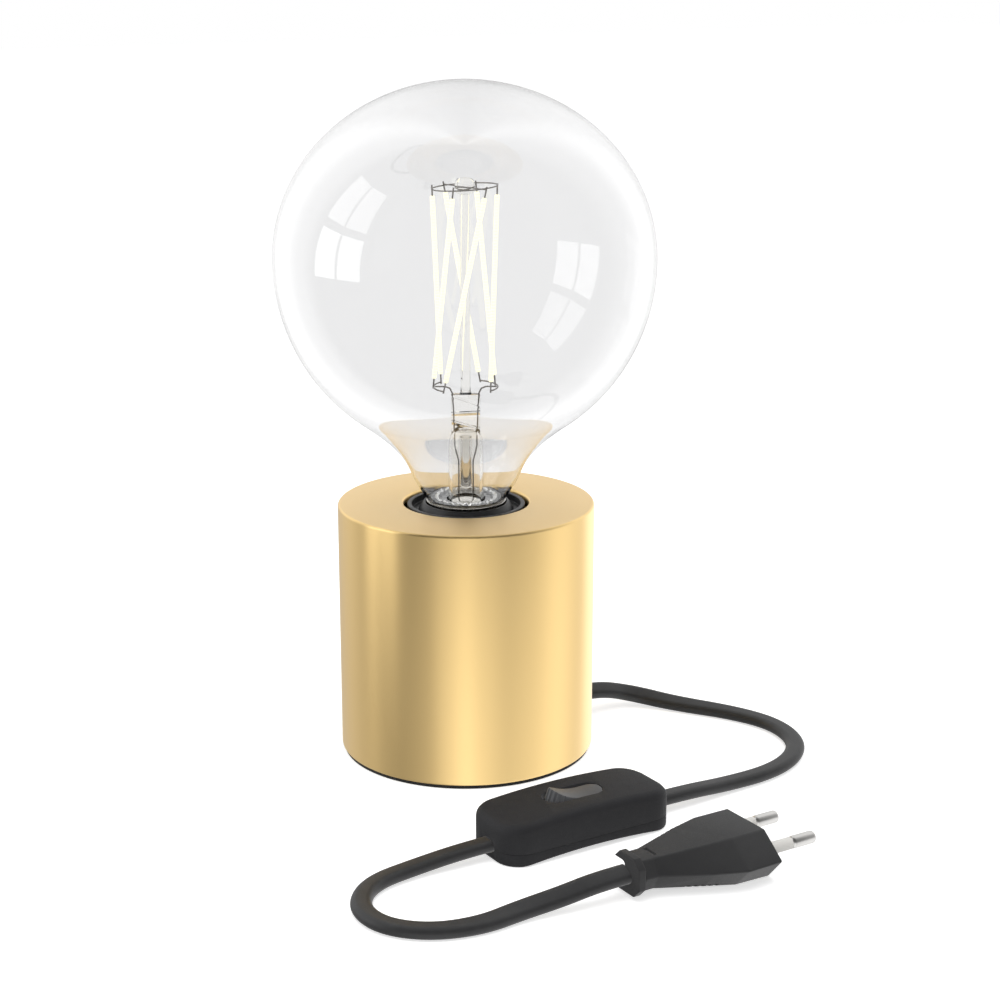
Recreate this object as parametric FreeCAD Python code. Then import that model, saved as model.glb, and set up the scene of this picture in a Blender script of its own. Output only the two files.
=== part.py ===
import FreeCAD, Part
import math
import os

# A bare bulb table lamp: a turned brass drum, a sunken lamp holder, a big clear globe bulb, a flat
# cord with an in-line rocker switch, and a flat two-pin plug.
# Frame: +Z up, origin in the middle of the drum's underside, +X the way the plug's pins point and
# the way the cord leaves the drum, -Y towards the front.  Millimetres and degrees.

# Clearances
slip = 0.05          # radial play of a turned or moulded fit
seat = 0.1           # play between stacked or nested fixed pieces
free = 0.3           # play between pieces that move past each other

# Drum
drum_r = 43.0
drum_top_z = 86.2
drum_wall = 2.0
drum_top_t = 2.5
drum_edge_r = 1.0
drum_hole_r = 21.0
foot_t = 1.2
foot_inset = 0.8
plate_t = 2.0

# Screws and lugs that hold the bottom plate
plate_screw_r = 2.0
plate_screw_head_r = 3.6
plate_screw_l = 7.0
plate_screw_inset = 8.0
lug_angles = (45.0, 180.0, 315.0)
lug_w = 12.0
lug_t = 2.0
lug_reach = 13.0
lug_h = 15.0

# Ballast weight
ballast_h = 10.0
ballast_inset = 1.0
ballast_window = (22.0, 54.0)
channel_w = 11.0
lug_pocket_w = 14.0

# Bracket, nipple and nut
strip_t = 2.0
strip_w = 16.0
bracket_half_span = 14.0
bracket_foot = 10.0
rivet_r = 2.0
nipple_r = 5.0
nipple_bore_r = 3.5
nipple_below = 6.0
nipple_above = 10.0
nut_across_flats = 14.0
nut_t = 4.0
washer_r = 8.0
washer_t = 0.8

# Lamp holder, E27 size
holder_r = 19.75
holder_h = 53.7
holder_recess = 0.5
holder_wall = 2.0
cap_boss_r = 8.0
cap_boss_h = 7.5
cap_h = 24.0
skirt_lap = 6.0
lock_screw_r = 1.5
insert_h = 8.0
thread_tube_wall = 1.8
lip_w = 1.5
lip_drop = 2.5
terminal_r = 1.4
contact_t = 0.5
contact_w = 5.0

# Bulb: heights are from the seat, where the glass meets the cap
seat_above_drum = 0.8
globe_r = 62.5
globe_up = 57.6
globe_down = 64.0
globe_centre_h = 80.5
globe_meets_neck = 52.5
waist_r = 18.2
waist_h = 9.0
neck_foot_r = 13.0
glass_t = 0.8
pole_flat_r = 0.5
neck_tail = 11.0
cap_r = 13.1
cap_wall = 0.6
cap_len = 22.0
tip_r = 4.8
tip_drop = 26.8
tip_h = 1.8
stem_r = 5.75
stem_wall = 1.0
stem_shoulder_h = 20.0
pinch_low_h = 23.5
pinch_top_h = 35.8
pinch_w = 9.6
pinch_t = 3.4
exhaust_r = 2.0
exhaust_wall = 0.7
exhaust_tip_h = 3.9
rod_r = 1.6
bead_r = 3.4
bead_low_h = 101.7
bead_h = 5.3
cage_r = 10.7
arm_h = 38.3
ring_h = 104.0
filament_r = 0.95
filament_low_h = 41.2
filament_top_h = 101.4
wire_r = 0.3
post_r = 0.4
spoke_r = 0.25
lead_x = 3.2
lead_top_x = 4.4
bulb_turn = -31.0    # the way the screwed-in bulb happens to face
left_posts = (132.0, 180.0, 220.0)
right_posts = (-63.0, -23.0, 40.0)
post_twist = {132.0: 50.0, 180.0: 110.0, 220.0: 170.0, -63.0: -130.0, -23.0: -70.0, 40.0: -10.0}
board_w = 16.0
board_h = 7.0
board_t = 1.2

# Cord
cord_r = 2.5
exit_z = 8.2
grommet_r = 4.0
grommet_nose = 4.5
core_r = 0.9

# In-line switch
switch_x = -12.4
switch_y = -83.6
switch_l = 61.4
switch_w = 25.5
switch_h = 14.2
switch_crown = 1.7
switch_arch = 1.3
switch_pad = 5.0
switch_corner_r = 8.0
switch_edge_r = 2.6
switch_wall = 1.8
parting_z = 4.1
cord_entry_z = 4.2
slot_l = 21.0
slot_w = 9.2
rocker_end_gap = 0.4
rocker_angle = 9.0
rocker_round = 3.6
pivot_z = 9.0
pin_r = 1.0
rocker_depth = 2.4
clamp_x = 24.5
clamp_screw_y = 5.0
block_x = 15.5
block_size = 5.0
block_y = 2.7

# Flat two-pin plug
plug_x = 21.0
plug_y = -127.1
plug_h = 7.0
plug_front = (17.65, 8.8, 6.95, 11.6)
plug_waist = (18.0, 8.8, 7.0, 11.2)
plug_neck = (6.6, 4.0, 4.9, 4.0)
waist_back = 12.5
neck_back = 37.0
collar_back = 41.4
plug_back = 44.0
collar_w = 13.0
collar_h = 12.0
collar_chamfer = 2.8
pin_pitch = 17.5
plug_pin_r = 2.0
plug_pin_l = 19.0
sleeve_l = 10.0
sleeve_r = 1.75
pin_root = 6.0

# Heights and places worked out from the sizes above
plate_top = foot_t + plate_t
inner_r = drum_r - drum_wall
rim_z = drum_top_z - holder_recess
bracket_top = rim_z - holder_h
seat_z = drum_top_z + seat_above_drum
cap_low = seat_z - cap_len
tip_low = seat_z - tip_drop
insert_low = bracket_top + cap_h - skirt_lap
insert_top = insert_low + insert_h
exit_x = drum_r + grommet_nose
switch_right = switch_x + switch_l / 2
switch_left = switch_x - switch_l / 2
plug_rear = plug_x - plug_back

# Cord routes: the run from the drum to the switch, then from the switch to the plug
route_to_switch = [
    (exit_x, 0.0, exit_z),
    (55.5, 0.0, exit_z),
    (69.5, -1.2, 3.9),
    (78.2, -15.2, cord_r),
    (91.5, -34.5, cord_r),
    (97.0, -50.5, cord_r),
    (93.5, -66.5, cord_r),
    (82.5, -77.0, cord_r),
    (67.5, -82.3, cord_r),
    (48.5, -82.3, 2.8),
    (32.0, switch_y, cord_entry_z),
    (switch_right, switch_y, cord_entry_z),
]
route_to_plug = [
    (switch_left, switch_y, cord_entry_z),
    (-52.5, switch_y, cord_entry_z),
    (-67.0, -82.4, 2.6),
    (-84.0, -84.6, cord_r),
    (-94.5, -95.5, cord_r),
    (-94.8, -110.0, cord_r),
    (-85.5, -121.5, cord_r),
    (-71.0, -126.2, cord_r),
    (-56.5, -123.9, cord_r),
    (-44.5, -125.2, 4.4),
    (-33.0, plug_y, plug_h),
    (plug_rear, plug_y, plug_h),
]

V = FreeCAD.Vector
UP = V(0, 0, 1)
ORIGIN = V(0, 0, 0)
BIG = 400.0


def save(name, *solids):
    """Write one node; several like pieces go in as separate solids."""
    shape = solids[0] if len(solids) == 1 else Part.makeCompound(list(solids))
    shape.exportStep(os.path.join("parts", name + ".step"))


def disc(r, low, high, x=0.0, y=0.0):
    """Upright cylinder between two heights."""
    return Part.makeCylinder(r, high - low, V(x, y, low), UP)


def ring(outer, bore, low, high, x=0.0, y=0.0):
    """Upright cylinder with a bore."""
    return disc(outer, low, high, x, y).cut(disc(bore, low - 1, high + 1, x, y))


def block(x0, x1, y0, y1, z0, z1):
    """Box between two corners."""
    return Part.makeBox(x1 - x0, y1 - y0, z1 - z0, V(x0, y0, z0))


def bar(start, end, r):
    """Round bar from point to point."""
    a, b = V(*start), V(*end)
    return Part.makeCylinder(r, (b - a).Length, a, b - a)


def turned(*stops):
    """Solid of revolution about Z; a stop is a corner (r, z), or a pair (middle, end) of an arc."""
    at = V(stops[0][0], 0, stops[0][1])
    edges = []
    for stop in stops[1:] + stops[:1]:
        if isinstance(stop[0], tuple):
            middle, end = (V(r, 0, z) for r, z in stop)
            edges.append(Part.Arc(at, middle, end).toShape())
        else:
            end = V(stop[0], 0, stop[1])
            if (end - at).Length > 1e-6:
                edges.append(Part.LineSegment(at, end).toShape())
        at = end
    return Part.Face(Part.Wire(edges)).revolve(ORIGIN, UP, 360)


def tube(route, r, report=None):
    """Round tube along straight runs joined by tangent arcs."""
    points = [V(*p) for p in route]
    at = points[0]
    edges = []
    radii = []
    for before, corner, after in zip(points, points[1:], points[2:]):
        back, on = before - corner, after - corner
        reach = 0.45 * min(back.Length, on.Length)
        back.normalize()
        on.normalize()
        half_turn = (math.pi - back.getAngle(on)) / 2
        bend_r = reach / math.tan(half_turn)
        inward = (back + on).normalize()
        start, end = corner + back * reach, corner + on * reach
        middle = corner + inward * (bend_r / math.cos(half_turn) - bend_r)
        edges.append(Part.LineSegment(at, start).toShape())
        edges.append(Part.Arc(start, middle, end).toShape())
        radii.append(round(bend_r, 1))
        at = end
    edges.append(Part.LineSegment(at, points[-1]).toShape())
    path = Part.Wire(edges)
    section = Part.Wire(Part.makeCircle(r, points[0], points[1] - points[0]))
    solid = path.makePipeShell([section], True, False)
    if report:
        share = solid.Volume / (math.pi * r * r * path.Length)
        print(report, "length", round(path.Length, 1), "volume share", round(share, 4))
        print(report, "bend radii", radii)
    return solid


def spun(angle, shape):
    """Copy of a shape turned about Z."""
    copy = shape.copy()
    copy.rotate(ORIGIN, UP, angle)
    return copy


def shifted(shape, x, y, z=0.0):
    """Copy of a shape moved to its place."""
    copy = shape.copy()
    copy.translate(V(x, y, z))
    return copy


# ---- Drum ---------------------------------------------------------------------------------------


def drum():
    """Spun and turned drum with an open underside, and its foam foot."""
    round_mid = drum_edge_r * (1 - math.sqrt(0.5))
    shell = turned(
        (drum_r, foot_t),
        (drum_r, drum_top_z - drum_edge_r),
        ((drum_r - round_mid, drum_top_z - round_mid), (drum_r - drum_edge_r, drum_top_z)),
        (drum_hole_r, drum_top_z),
        (drum_hole_r, drum_top_z - drum_top_t),
        (inner_r, drum_top_z - drum_top_t),
        (inner_r, foot_t),
    )
    cord_hole = bar((inner_r - 5, 0, exit_z), (drum_r + 5, 0, exit_z), grommet_r + slip)
    save("base_shell", shell.cut(cord_hole))
    save("foot_pad", disc(drum_r - foot_inset, 0, foot_t))


def screw_places():
    """Turn and radius of each bottom plate screw."""
    return [(angle, inner_r - plate_screw_inset) for angle in lug_angles]


def bottom():
    """Steel plate, its screws and the three lugs welded to the drum's wall."""
    plate = disc(inner_r - 0.2, foot_t, plate_top)
    hold = inner_r - slip
    wall_ring = disc(hold, 0, BIG)
    screws = []
    lugs = []
    for angle, r in screw_places():
        head_h = plate_screw_head_r - plate_screw_r
        head = Part.makeCone(plate_screw_head_r, plate_screw_r, head_h, V(r, 0, foot_t), UP)
        shank = disc(plate_screw_r, foot_t + head_h, foot_t + plate_screw_l, r)
        drive = block(r - 2.2, r + 2.2, -0.4, 0.4, foot_t - 1, foot_t + 0.9)
        screws.append(spun(angle, head.fuse(shank).cut(drive)))
        sink = Part.makeCone(plate_screw_head_r + slip, plate_screw_r + slip, head_h, V(r, 0, foot_t), UP)
        bore = disc(plate_screw_r + slip, foot_t, BIG, r)
        plate = plate.cut(spun(angle, sink.fuse(bore)))
        leg = block(inner_r - lug_reach, inner_r, -lug_w / 2, lug_w / 2, plate_top, plate_top + lug_t)
        upright = block(inner_r - lug_t, inner_r, -lug_w / 2, lug_w / 2, plate_top, plate_top + lug_h)
        lugs.append(spun(angle, leg.fuse(upright).common(wall_ring).cut(bore).removeSplitter()))
    for x, y in rivet_places():
        plate = plate.cut(disc(rivet_r + slip, 0, BIG, x, y))
    save("bottom_plate", plate)
    save("plate_screws", *screws)
    save("mounting_lugs", *lugs)


def ballast():
    """Cast-iron weight with a window for the bracket, a channel for the cord and lug pockets."""
    high = plate_top + ballast_h
    weight = disc(inner_r - ballast_inset, plate_top, high)
    half_x, half_y = (side / 2 for side in ballast_window)
    weight = weight.cut(block(-half_x, half_x, -half_y, half_y, 0, BIG))
    weight = weight.cut(block(0, BIG, -channel_w / 2, channel_w / 2, 0, BIG))
    for angle in lug_angles:
        pocket = block(inner_r - lug_reach - 1, BIG, -lug_pocket_w / 2, lug_pocket_w / 2, 0, BIG)
        weight = weight.cut(spun(angle, pocket))
    save("ballast_weight", weight)


# ---- Bracket, nipple and nut --------------------------------------------------------------------


def rivet_places():
    """Middle of each bracket foot."""
    y = bracket_half_span + bracket_foot / 2
    return [(0, -y), (0, y)]


def bracket():
    """Hat-shaped strip that carries the lamp holder, riveted to the plate."""
    half_w = strip_w / 2
    legs = bracket_half_span
    top = block(-half_w, half_w, -legs, legs, bracket_top - strip_t, bracket_top)
    top = top.cut(disc(nipple_r + 0.15, 0, BIG))
    hat = top
    for side in (-1, 1):
        inner, outer = sorted((side * legs, side * (legs - strip_t)))
        hat = hat.fuse(block(-half_w, half_w, inner, outer, plate_top, bracket_top))
        near, far = sorted((side * (legs - strip_t), side * (legs + bracket_foot)))
        hat = hat.fuse(block(-half_w, half_w, near, far, plate_top, plate_top + strip_t))
    rivets = []
    for x, y in rivet_places():
        hat = hat.cut(disc(rivet_r + slip, 0, plate_top + 5, x, y))
        shank = disc(rivet_r, foot_t, plate_top + strip_t, x, y)
        head = Part.makeSphere(3.4, V(x, y, plate_top + strip_t - 1.6))
        head = head.common(disc(5, plate_top + strip_t, BIG, x, y))
        rivets.append(shank.fuse(head))
    save("holder_bracket", hat.removeSplitter())
    save("bracket_rivets", *rivets)


def nipple():
    """Threaded tube that joins the holder to the bracket, with its nut and toothed washer."""
    save("nipple", ring(nipple_r, nipple_bore_r, bracket_top - strip_t - nipple_below, bracket_top + nipple_above))
    washer_top = bracket_top - strip_t
    washer = ring(washer_r, nipple_r + slip, washer_top - washer_t, washer_top)
    for tooth in range(8):
        notch = block(washer_r - 1.4, washer_r + 1, -0.7, 0.7, 0, BIG)
        washer = washer.cut(spun(45.0 * tooth, notch))
    save("lock_washer", washer)
    corner_r = nut_across_flats / 2 / math.cos(math.pi / 6)
    corners = [
        V(corner_r * math.cos(math.radians(60 * i)), corner_r * math.sin(math.radians(60 * i)), 0)
        for i in range(7)
    ]
    nut = Part.Face(Part.makePolygon(corners)).extrude(V(0, 0, nut_t))
    nut.translate(V(0, 0, washer_top - washer_t - nut_t))
    save("nipple_nut", nut.cut(disc(nipple_r + slip, 0, BIG)))


# ---- Lamp holder --------------------------------------------------------------------------------


def holder_cap():
    """Domed lower part of the lamp holder, screwed on the nipple and locked by a small screw."""
    low = bracket_top
    high = low + cap_h
    skirt_r = holder_r - holder_wall
    shell = turned(
        (nipple_r + slip, low),
        (cap_boss_r, low),
        (cap_boss_r, low + cap_boss_h),
        (holder_r, low + cap_boss_h + 5),
        (holder_r, high),
        (skirt_r, high),
        (skirt_r, insert_low - seat),
        (skirt_r - 3.2, insert_low - seat),
        (skirt_r - 3.2, low + cap_boss_h + 5.7),
        (nipple_r + 1.5, low + cap_boss_h + 1.6),
        (nipple_r + slip, low + cap_boss_h + 1.6),
    )
    screw_z = low + 4
    hole = bar((0, nipple_r - 1, screw_z), (0, cap_boss_r + 5, screw_z), lock_screw_r + slip)
    save("holder_cap", shell.cut(hole))
    screw = bar((0, nipple_r + slip, screw_z), (0, cap_boss_r + 0.6, screw_z), lock_screw_r)
    drive = block(-2, 2, cap_boss_r - 0.2, cap_boss_r + 1, screw_z - 0.2, screw_z + 0.2)
    save("holder_lock_screw", screw.cut(drive))


def holder_sleeve():
    """Upper part of the lamp holder: outer wall, rim and the tube that takes the bulb's cap."""
    neck_r = holder_r - holder_wall - seat
    insert_hold = neck_r - 1.6
    wall_in = neck_r - 0.4
    tube_in = cap_r + free
    tube_out = tube_in + thread_tube_wall
    web_top = rim_z - lip_drop
    web_low = web_top - thread_tube_wall
    shoulder = bracket_top + cap_h + seat
    sleeve = turned(
        (insert_hold, insert_low),
        (neck_r, insert_low),
        (neck_r, shoulder),
        (holder_r, shoulder),
        (holder_r, rim_z - 0.5),
        ((holder_r - 0.15, rim_z - 0.15), (holder_r - 0.5, rim_z)),
        (holder_r - lip_w, rim_z),
        (holder_r - lip_w, web_top),
        (tube_in + 0.6, web_top),
        (tube_in, web_top - 0.6),
        (tube_in, insert_top + 2),
        (tube_out, insert_top + 2),
        (tube_out, web_low),
        (wall_in, web_low),
        (wall_in, insert_top + 1.5),
        (insert_hold - 0.9, insert_top + 1.5),
        (insert_hold - 0.9, insert_top + seat),
        (insert_hold, insert_top + seat),
    )
    save("holder_sleeve", sleeve)
    return insert_hold


def holder_contacts(insert_hold):
    """Insert with both contacts, their screws and the wires that come up through the nipple."""
    insert = disc(insert_hold - seat, insert_low, insert_top)
    wire_x, wire_hold_r = cap_r - 6.6, 1.0
    strip_top = insert_top + contact_t
    half = contact_w / 2
    centre_screw, side_screw = 2.6 - cap_r, cap_r - 3.6
    screws = []
    for x in (centre_screw, side_screw):
        shank = disc(terminal_r, insert_top - 6, strip_top, x)
        head = disc(2.2, strip_top, strip_top + 1.3, x)
        drive = block(x - 3, x + 3, -0.3, 0.3, strip_top + 0.7, strip_top + 2)
        screws.append(shank.fuse(head).cut(drive))
        insert = insert.cut(disc(terminal_r + slip, insert_top - 6, BIG, x))
    for side in (-1, 1):
        insert = insert.cut(disc(wire_hold_r + slip, insert_low - 1, insert_low + 3.5, side * wire_x))
    save("holder_insert", insert)
    save("terminal_screws", *screws)
    hole = disc(terminal_r + slip, 0, BIG, centre_screw)
    flat = block(centre_screw - 2.1, -5.5, -half, half, insert_top, strip_top)
    rise = tip_low - 0.2 - contact_t
    outline = [
        V(-5.8, 0, insert_top),
        V(-1.5, 0, rise),
        V(2.2, 0, rise),
        V(2.2, 0, rise + contact_t),
        V(-1.5, 0, rise + contact_t),
        V(-5.8, 0, strip_top),
        V(-5.8, 0, insert_top),
    ]
    tongue = Part.Face(Part.makePolygon(outline)).extrude(V(0, contact_w, 0))
    tongue.translate(V(0, -half, 0))
    save("centre_contact", flat.fuse(tongue).cut(hole).removeSplitter())
    leaf_x = cap_r - slip * 2
    foot = block(side_screw - 2.6, leaf_x, -half, half, insert_top, strip_top)
    leaf = block(leaf_x - contact_t, leaf_x, -half, half, insert_top, cap_low - free)
    side = foot.fuse(leaf).cut(disc(terminal_r + slip, 0, BIG, side_screw))
    save("side_contact", side.removeSplitter())
    start_z = inner_cord_top()
    wires = []
    for side in (-1, 1):
        route = [
            (side * 1.2, 0, start_z),
            (side * 1.2, 0, start_z + 2.4),
            (side * wire_x, 0, insert_low - 1.6),
            (side * wire_x, 0, insert_low + 3.2),
        ]
        wires.append(tube(route, wire_hold_r))
    save("holder_conductors", *wires)


# ---- Bulb ---------------------------------------------------------------------------------------


def envelope_edges(inset):
    """Edges of the glass from the top pole to the end of the tail: ellipses, waisted neck, tail."""
    a, up, down = globe_r - inset, globe_up - inset, globe_down - inset
    centre = V(0, 0, seat_z + globe_centre_h)
    top_ellipse = Part.Ellipse(centre + V(a, 0, 0), centre + V(0, 0, up), centre)
    low_ellipse = Part.Ellipse(centre - V(0, 0, down), centre + V(a, 0, 0), centre)
    meet = math.acos(globe_meets_neck / globe_down)
    pole_turn = math.pi / 2 - pole_flat_r / a
    join = low_ellipse.value(meet)
    slope = low_ellipse.tangent(meet)[0]
    slope = slope * (-1 if slope.z > 0 else 1)
    waist = V(waist_r - inset, 0, seat_z + waist_h)
    waist_slope = V(0.35, 0, 1).normalize()
    foot_z = seat_z + 0.6 * inset
    foot = V(neck_foot_r - inset, 0, foot_z)
    upper = Part.BezierCurve()
    upper.setPoles([join, join + slope * 9.5, waist + waist_slope * 8.5, waist])
    lower = Part.BezierCurve()
    lower.setPoles([waist, waist - waist_slope * 3.0, foot + V(0.55, 0, 1) * 2.8, foot])
    tail_r = cap_r - cap_wall - 1.2 - inset
    tail = [foot, V(tail_r, 0, foot_z), V(tail_r, 0, seat_z - neck_tail)]
    edges = [
        Part.LineSegment(V(0, 0, top_ellipse.value(pole_turn).z), top_ellipse.value(pole_turn)).toShape(),
        top_ellipse.toShape(0, pole_turn),
        low_ellipse.toShape(meet, math.pi / 2),
        upper.toShape(),
        lower.toShape(),
    ]
    for start, end in zip(tail, tail[1:]):
        edges.append(Part.LineSegment(start, end).toShape())
    return edges, V(0, 0, top_ellipse.value(pole_turn).z), tail[-1]


def glass():
    """Blown glass wall between its outer and inner outlines, open at the end of the tail."""
    outer, outer_pole, outer_end = envelope_edges(0.0)
    inner, inner_pole, inner_end = envelope_edges(glass_t)
    closing = [
        Part.LineSegment(outer_end, inner_end).toShape(),
        Part.LineSegment(inner_pole, outer_pole).toShape(),
    ]
    wire = Part.Wire(Part.sortEdges(outer + inner + closing)[0])
    return Part.Face(wire).revolve(ORIGIN, UP, 360)


def cage_point(angle, z):
    """Point of the filament cage at a turn of the bulb; angles run clockwise seen from above."""
    turn = math.radians(bulb_turn - angle)
    return (cage_r * math.cos(turn), cage_r * math.sin(turn), z)


def bulb_axis_point(across, z):
    """Point in the plane of the two lead wires."""
    turn = math.radians(bulb_turn)
    return (across * math.cos(turn), across * math.sin(turn), z)


def filament_point(low_angle, h):
    """Point on a filament's axis at a height above the seat."""
    low = V(*cage_point(low_angle, seat_z + arm_h))
    top = V(*cage_point(post_twist[low_angle], seat_z + ring_h))
    share = (h - arm_h) / (ring_h - arm_h)
    return tuple(low + (top - low) * share)


def lead_route(side):
    """Route of one lead wire from the board to its arm."""
    return [
        bulb_axis_point(side * lead_x, cap_low + 2.5 + board_h),
        bulb_axis_point(side * lead_x, seat_z + pinch_low_h),
        bulb_axis_point(side * lead_top_x, seat_z + arm_h - 1.2),
        bulb_axis_point(side * (cage_r - 2 * wire_r - slip), seat_z + arm_h),
    ]


def bulb_glass():
    """Clear globe, glass stem with its pinch, exhaust tube, support rod and top bead."""
    save("glass_bulb", glass())
    flare_r = cap_r - cap_wall - 1.2 - glass_t - seat
    flare_z = seat_z - neck_tail + 1.5
    top_z = seat_z + stem_shoulder_h
    low_z = seat_z + pinch_low_h
    bore_r = stem_r - stem_wall
    stem = turned(
        (flare_r, flare_z),
        ((stem_r + 0.9, flare_z + 6.5), (stem_r, flare_z + 13)),
        (stem_r, top_z),
        (stem_r - 2, low_z),
        (0, low_z),
        (0, top_z - stem_wall),
        (bore_r, top_z - stem_wall - 1.5),
        (bore_r, flare_z + 13),
        ((bore_r + 0.9, flare_z + 6.5), (flare_r - stem_wall, flare_z)),
    )
    half_w, half_t = pinch_w / 2, pinch_t / 2
    pinch = block(-half_w, half_w, -half_t, half_t, low_z - 2.5, seat_z + pinch_top_h)
    stem = stem.fuse(spun(bulb_turn, pinch))
    for side in (-1, 1):
        route = lead_route(side)
        stem = stem.cut(bar(route[0], route[1], wire_r + seat)).cut(tube(route[1:], wire_r + seat))
    save("stem", stem.removeSplitter())
    low = seat_z + exhaust_tip_h
    high = top_z - stem_wall - 1.7
    exhaust = turned(
        (0, low),
        ((exhaust_r * 0.7, low + exhaust_r * 0.3), (exhaust_r, low + exhaust_r)),
        (exhaust_r, high),
        (exhaust_r - exhaust_wall, high),
        (exhaust_r - exhaust_wall, low + exhaust_r),
        (0, low + exhaust_r * 0.8),
    )
    save("exhaust_tube", exhaust)
    bead_low = seat_z + bead_low_h
    save("support_rod", disc(rod_r, seat_z + pinch_top_h, bead_low))
    mid_z = bead_low + bead_h / 2
    bead = turned(
        (0, bead_low),
        (bead_r - 1, bead_low),
        ((bead_r, mid_z), (bead_r - 1, bead_low + bead_h)),
        (0, bead_low + bead_h),
    )
    spoke = bar(cage_point(50, seat_z + ring_h), cage_point(230, seat_z + ring_h), spoke_r + slip)
    save("top_bead", bead.cut(spoke))


def hoop(start, end, z):
    """Wire bent round the cage between two angles."""
    circle = Part.makeCircle(wire_r, V(cage_r, 0, z), V(0, 1, 0))
    wire = Part.Face(Part.Wire(circle)).revolve(ORIGIN, UP, end - start)
    return spun(bulb_turn - end, wire)


def bulb_wires():
    """Lead wires, lower arms, top ring and the six LED filaments between them."""
    save("lead_wires", *[tube(lead_route(side), wire_r) for side in (-1, 1)])
    arms = []
    for posts in (left_posts, right_posts):
        arm = hoop(posts[0], posts[-1], seat_z + arm_h)
        for angle in posts:
            arm = arm.fuse(bar(filament_point(angle, arm_h - 0.6), filament_point(angle, filament_low_h), post_r))
        arms.append(arm)
    save("lower_arms", *arms)
    crown = Part.makeTorus(cage_r, wire_r, V(0, 0, seat_z + ring_h), UP)
    crown = crown.fuse(bar(cage_point(50, seat_z + ring_h), cage_point(230, seat_z + ring_h), spoke_r))
    for angle in left_posts + right_posts:
        crown = crown.fuse(bar(filament_point(angle, filament_top_h), filament_point(angle, ring_h + 0.9), post_r))
    save("top_ring", crown)
    rods = []
    for angle in left_posts + right_posts:
        rods.append(bar(filament_point(angle, filament_low_h), filament_point(angle, filament_top_h), filament_r))
    save("led_filaments", *rods)


def bulb_cap():
    """Screw cap with its insulator, contact tip, cement and driver board."""
    bore = cap_r - cap_wall
    shell = turned(
        (cap_r - 1.6, cap_low),
        (cap_r - 1.0, cap_low),
        (cap_r, cap_low + 1.2),
        (cap_r, seat_z - slip),
        (bore, seat_z - slip),
        (bore, cap_low + 1.8),
        (cap_r - 1.6, cap_low + 1.0),
    )
    save("cap_shell", shell)
    tail_r = bore - 1.2
    save("cap_cement", ring(bore - slip, tail_r + slip, seat_z - neck_tail, seat_z - seat))
    tip_top = tip_low + tip_h
    insulator = turned(
        (0.8, tip_top + slip),
        (tip_r + slip, tip_top + slip),
        (tip_r + slip, tip_low + 1),
        (tip_r + 1.6, tip_low + 1),
        (cap_r - 1.6 - slip, cap_low - 0.1),
        (cap_r - 1.6 - slip, cap_low + 1.6),
        (0.8, cap_low + 1.6),
    )
    save("cap_insulator", insulator)
    tip = turned(
        (0, tip_low),
        (tip_r - 1.4, tip_low),
        ((tip_r - 0.4, tip_low + 0.4), (tip_r, tip_low + 1.2)),
        (tip_r, tip_top),
        (0, tip_top),
    )
    save("contact_tip", tip)
    low = cap_low + 2.5
    board = block(-board_w / 2, board_w / 2, -board_t / 2, board_t / 2, low, low + board_h)
    save("driver_board", spun(bulb_turn, board))
    side = board_t / 2
    capacitor = bar((-3.6, side, low + 3.5), (-3.6, side + 6, low + 3.5), 2.5)
    chip = block(2, 6, side, side + 1.4, low + 1.5, low + 5.5)
    bridge = block(-3, 2, -side - 1.6, -side, low + 1.5, low + 5.5)
    tip_wire = disc(wire_r, tip_top + slip, low)
    save("driver_parts", *[spun(bulb_turn, piece) for piece in (capacitor, chip, bridge)], tip_wire)


# ---- Cord ---------------------------------------------------------------------------------------


def inner_cord_top():
    """Height where the sheath of the cord ends inside the lamp holder."""
    return bracket_top + nipple_above + 0.8


def cords():
    """Grommet in the drum's wall, the cord inside the drum and both free stretches."""
    inner_flange_r = 4.85
    flange_x = math.sqrt(inner_r**2 - inner_flange_r**2) - slip
    wall_x = drum_r + slip
    pieces = [
        bar((flange_x - 1.5, 0, exit_z), (flange_x, 0, exit_z), inner_flange_r),
        bar((flange_x - 1.5, 0, exit_z), (wall_x, 0, exit_z), grommet_r),
        bar((wall_x, 0, exit_z), (wall_x + 1.6, 0, exit_z), grommet_r + 1.4),
        Part.makeCone(grommet_r + 0.4, cord_r + 1.0, exit_x - wall_x - 1.6, V(wall_x + 1.6, 0, exit_z), V(1, 0, 0)),
    ]
    grommet = pieces[0].multiFuse(pieces[1:])
    grommet = grommet.cut(bar((0, 0, exit_z), (BIG, 0, exit_z), cord_r + slip))
    save("cord_grommet", grommet.removeSplitter())
    inside = [(exit_x, 0, exit_z), (0, 0, exit_z), (0, 0, inner_cord_top())]
    save("inner_cord", tube(inside, cord_r, "inner cord"))
    save("cord_base_to_switch", tube(route_to_switch, cord_r, "cord to switch"))
    save("cord_switch_to_plug", tube(route_to_plug, cord_r, "cord to plug"))


# ---- In-line switch -----------------------------------------------------------------------------


def rounded_plan(length, width, corner_r, low, high):
    """Upright prism with a rounded rectangle or stadium as its plan, centred on Z."""
    x, y = length / 2 - corner_r, width / 2 - corner_r
    body = block(-x, x, -width / 2, width / 2, low, high)
    if y > 1e-6:
        body = body.fuse(block(-length / 2, length / 2, -y, y, low, high))
    for sx in (-1, 1):
        for sy in (-1, 1) if y > 1e-6 else (1,):
            body = body.fuse(disc(corner_r, low, high, sx * x, sy * y))
    return body.removeSplitter()


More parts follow.
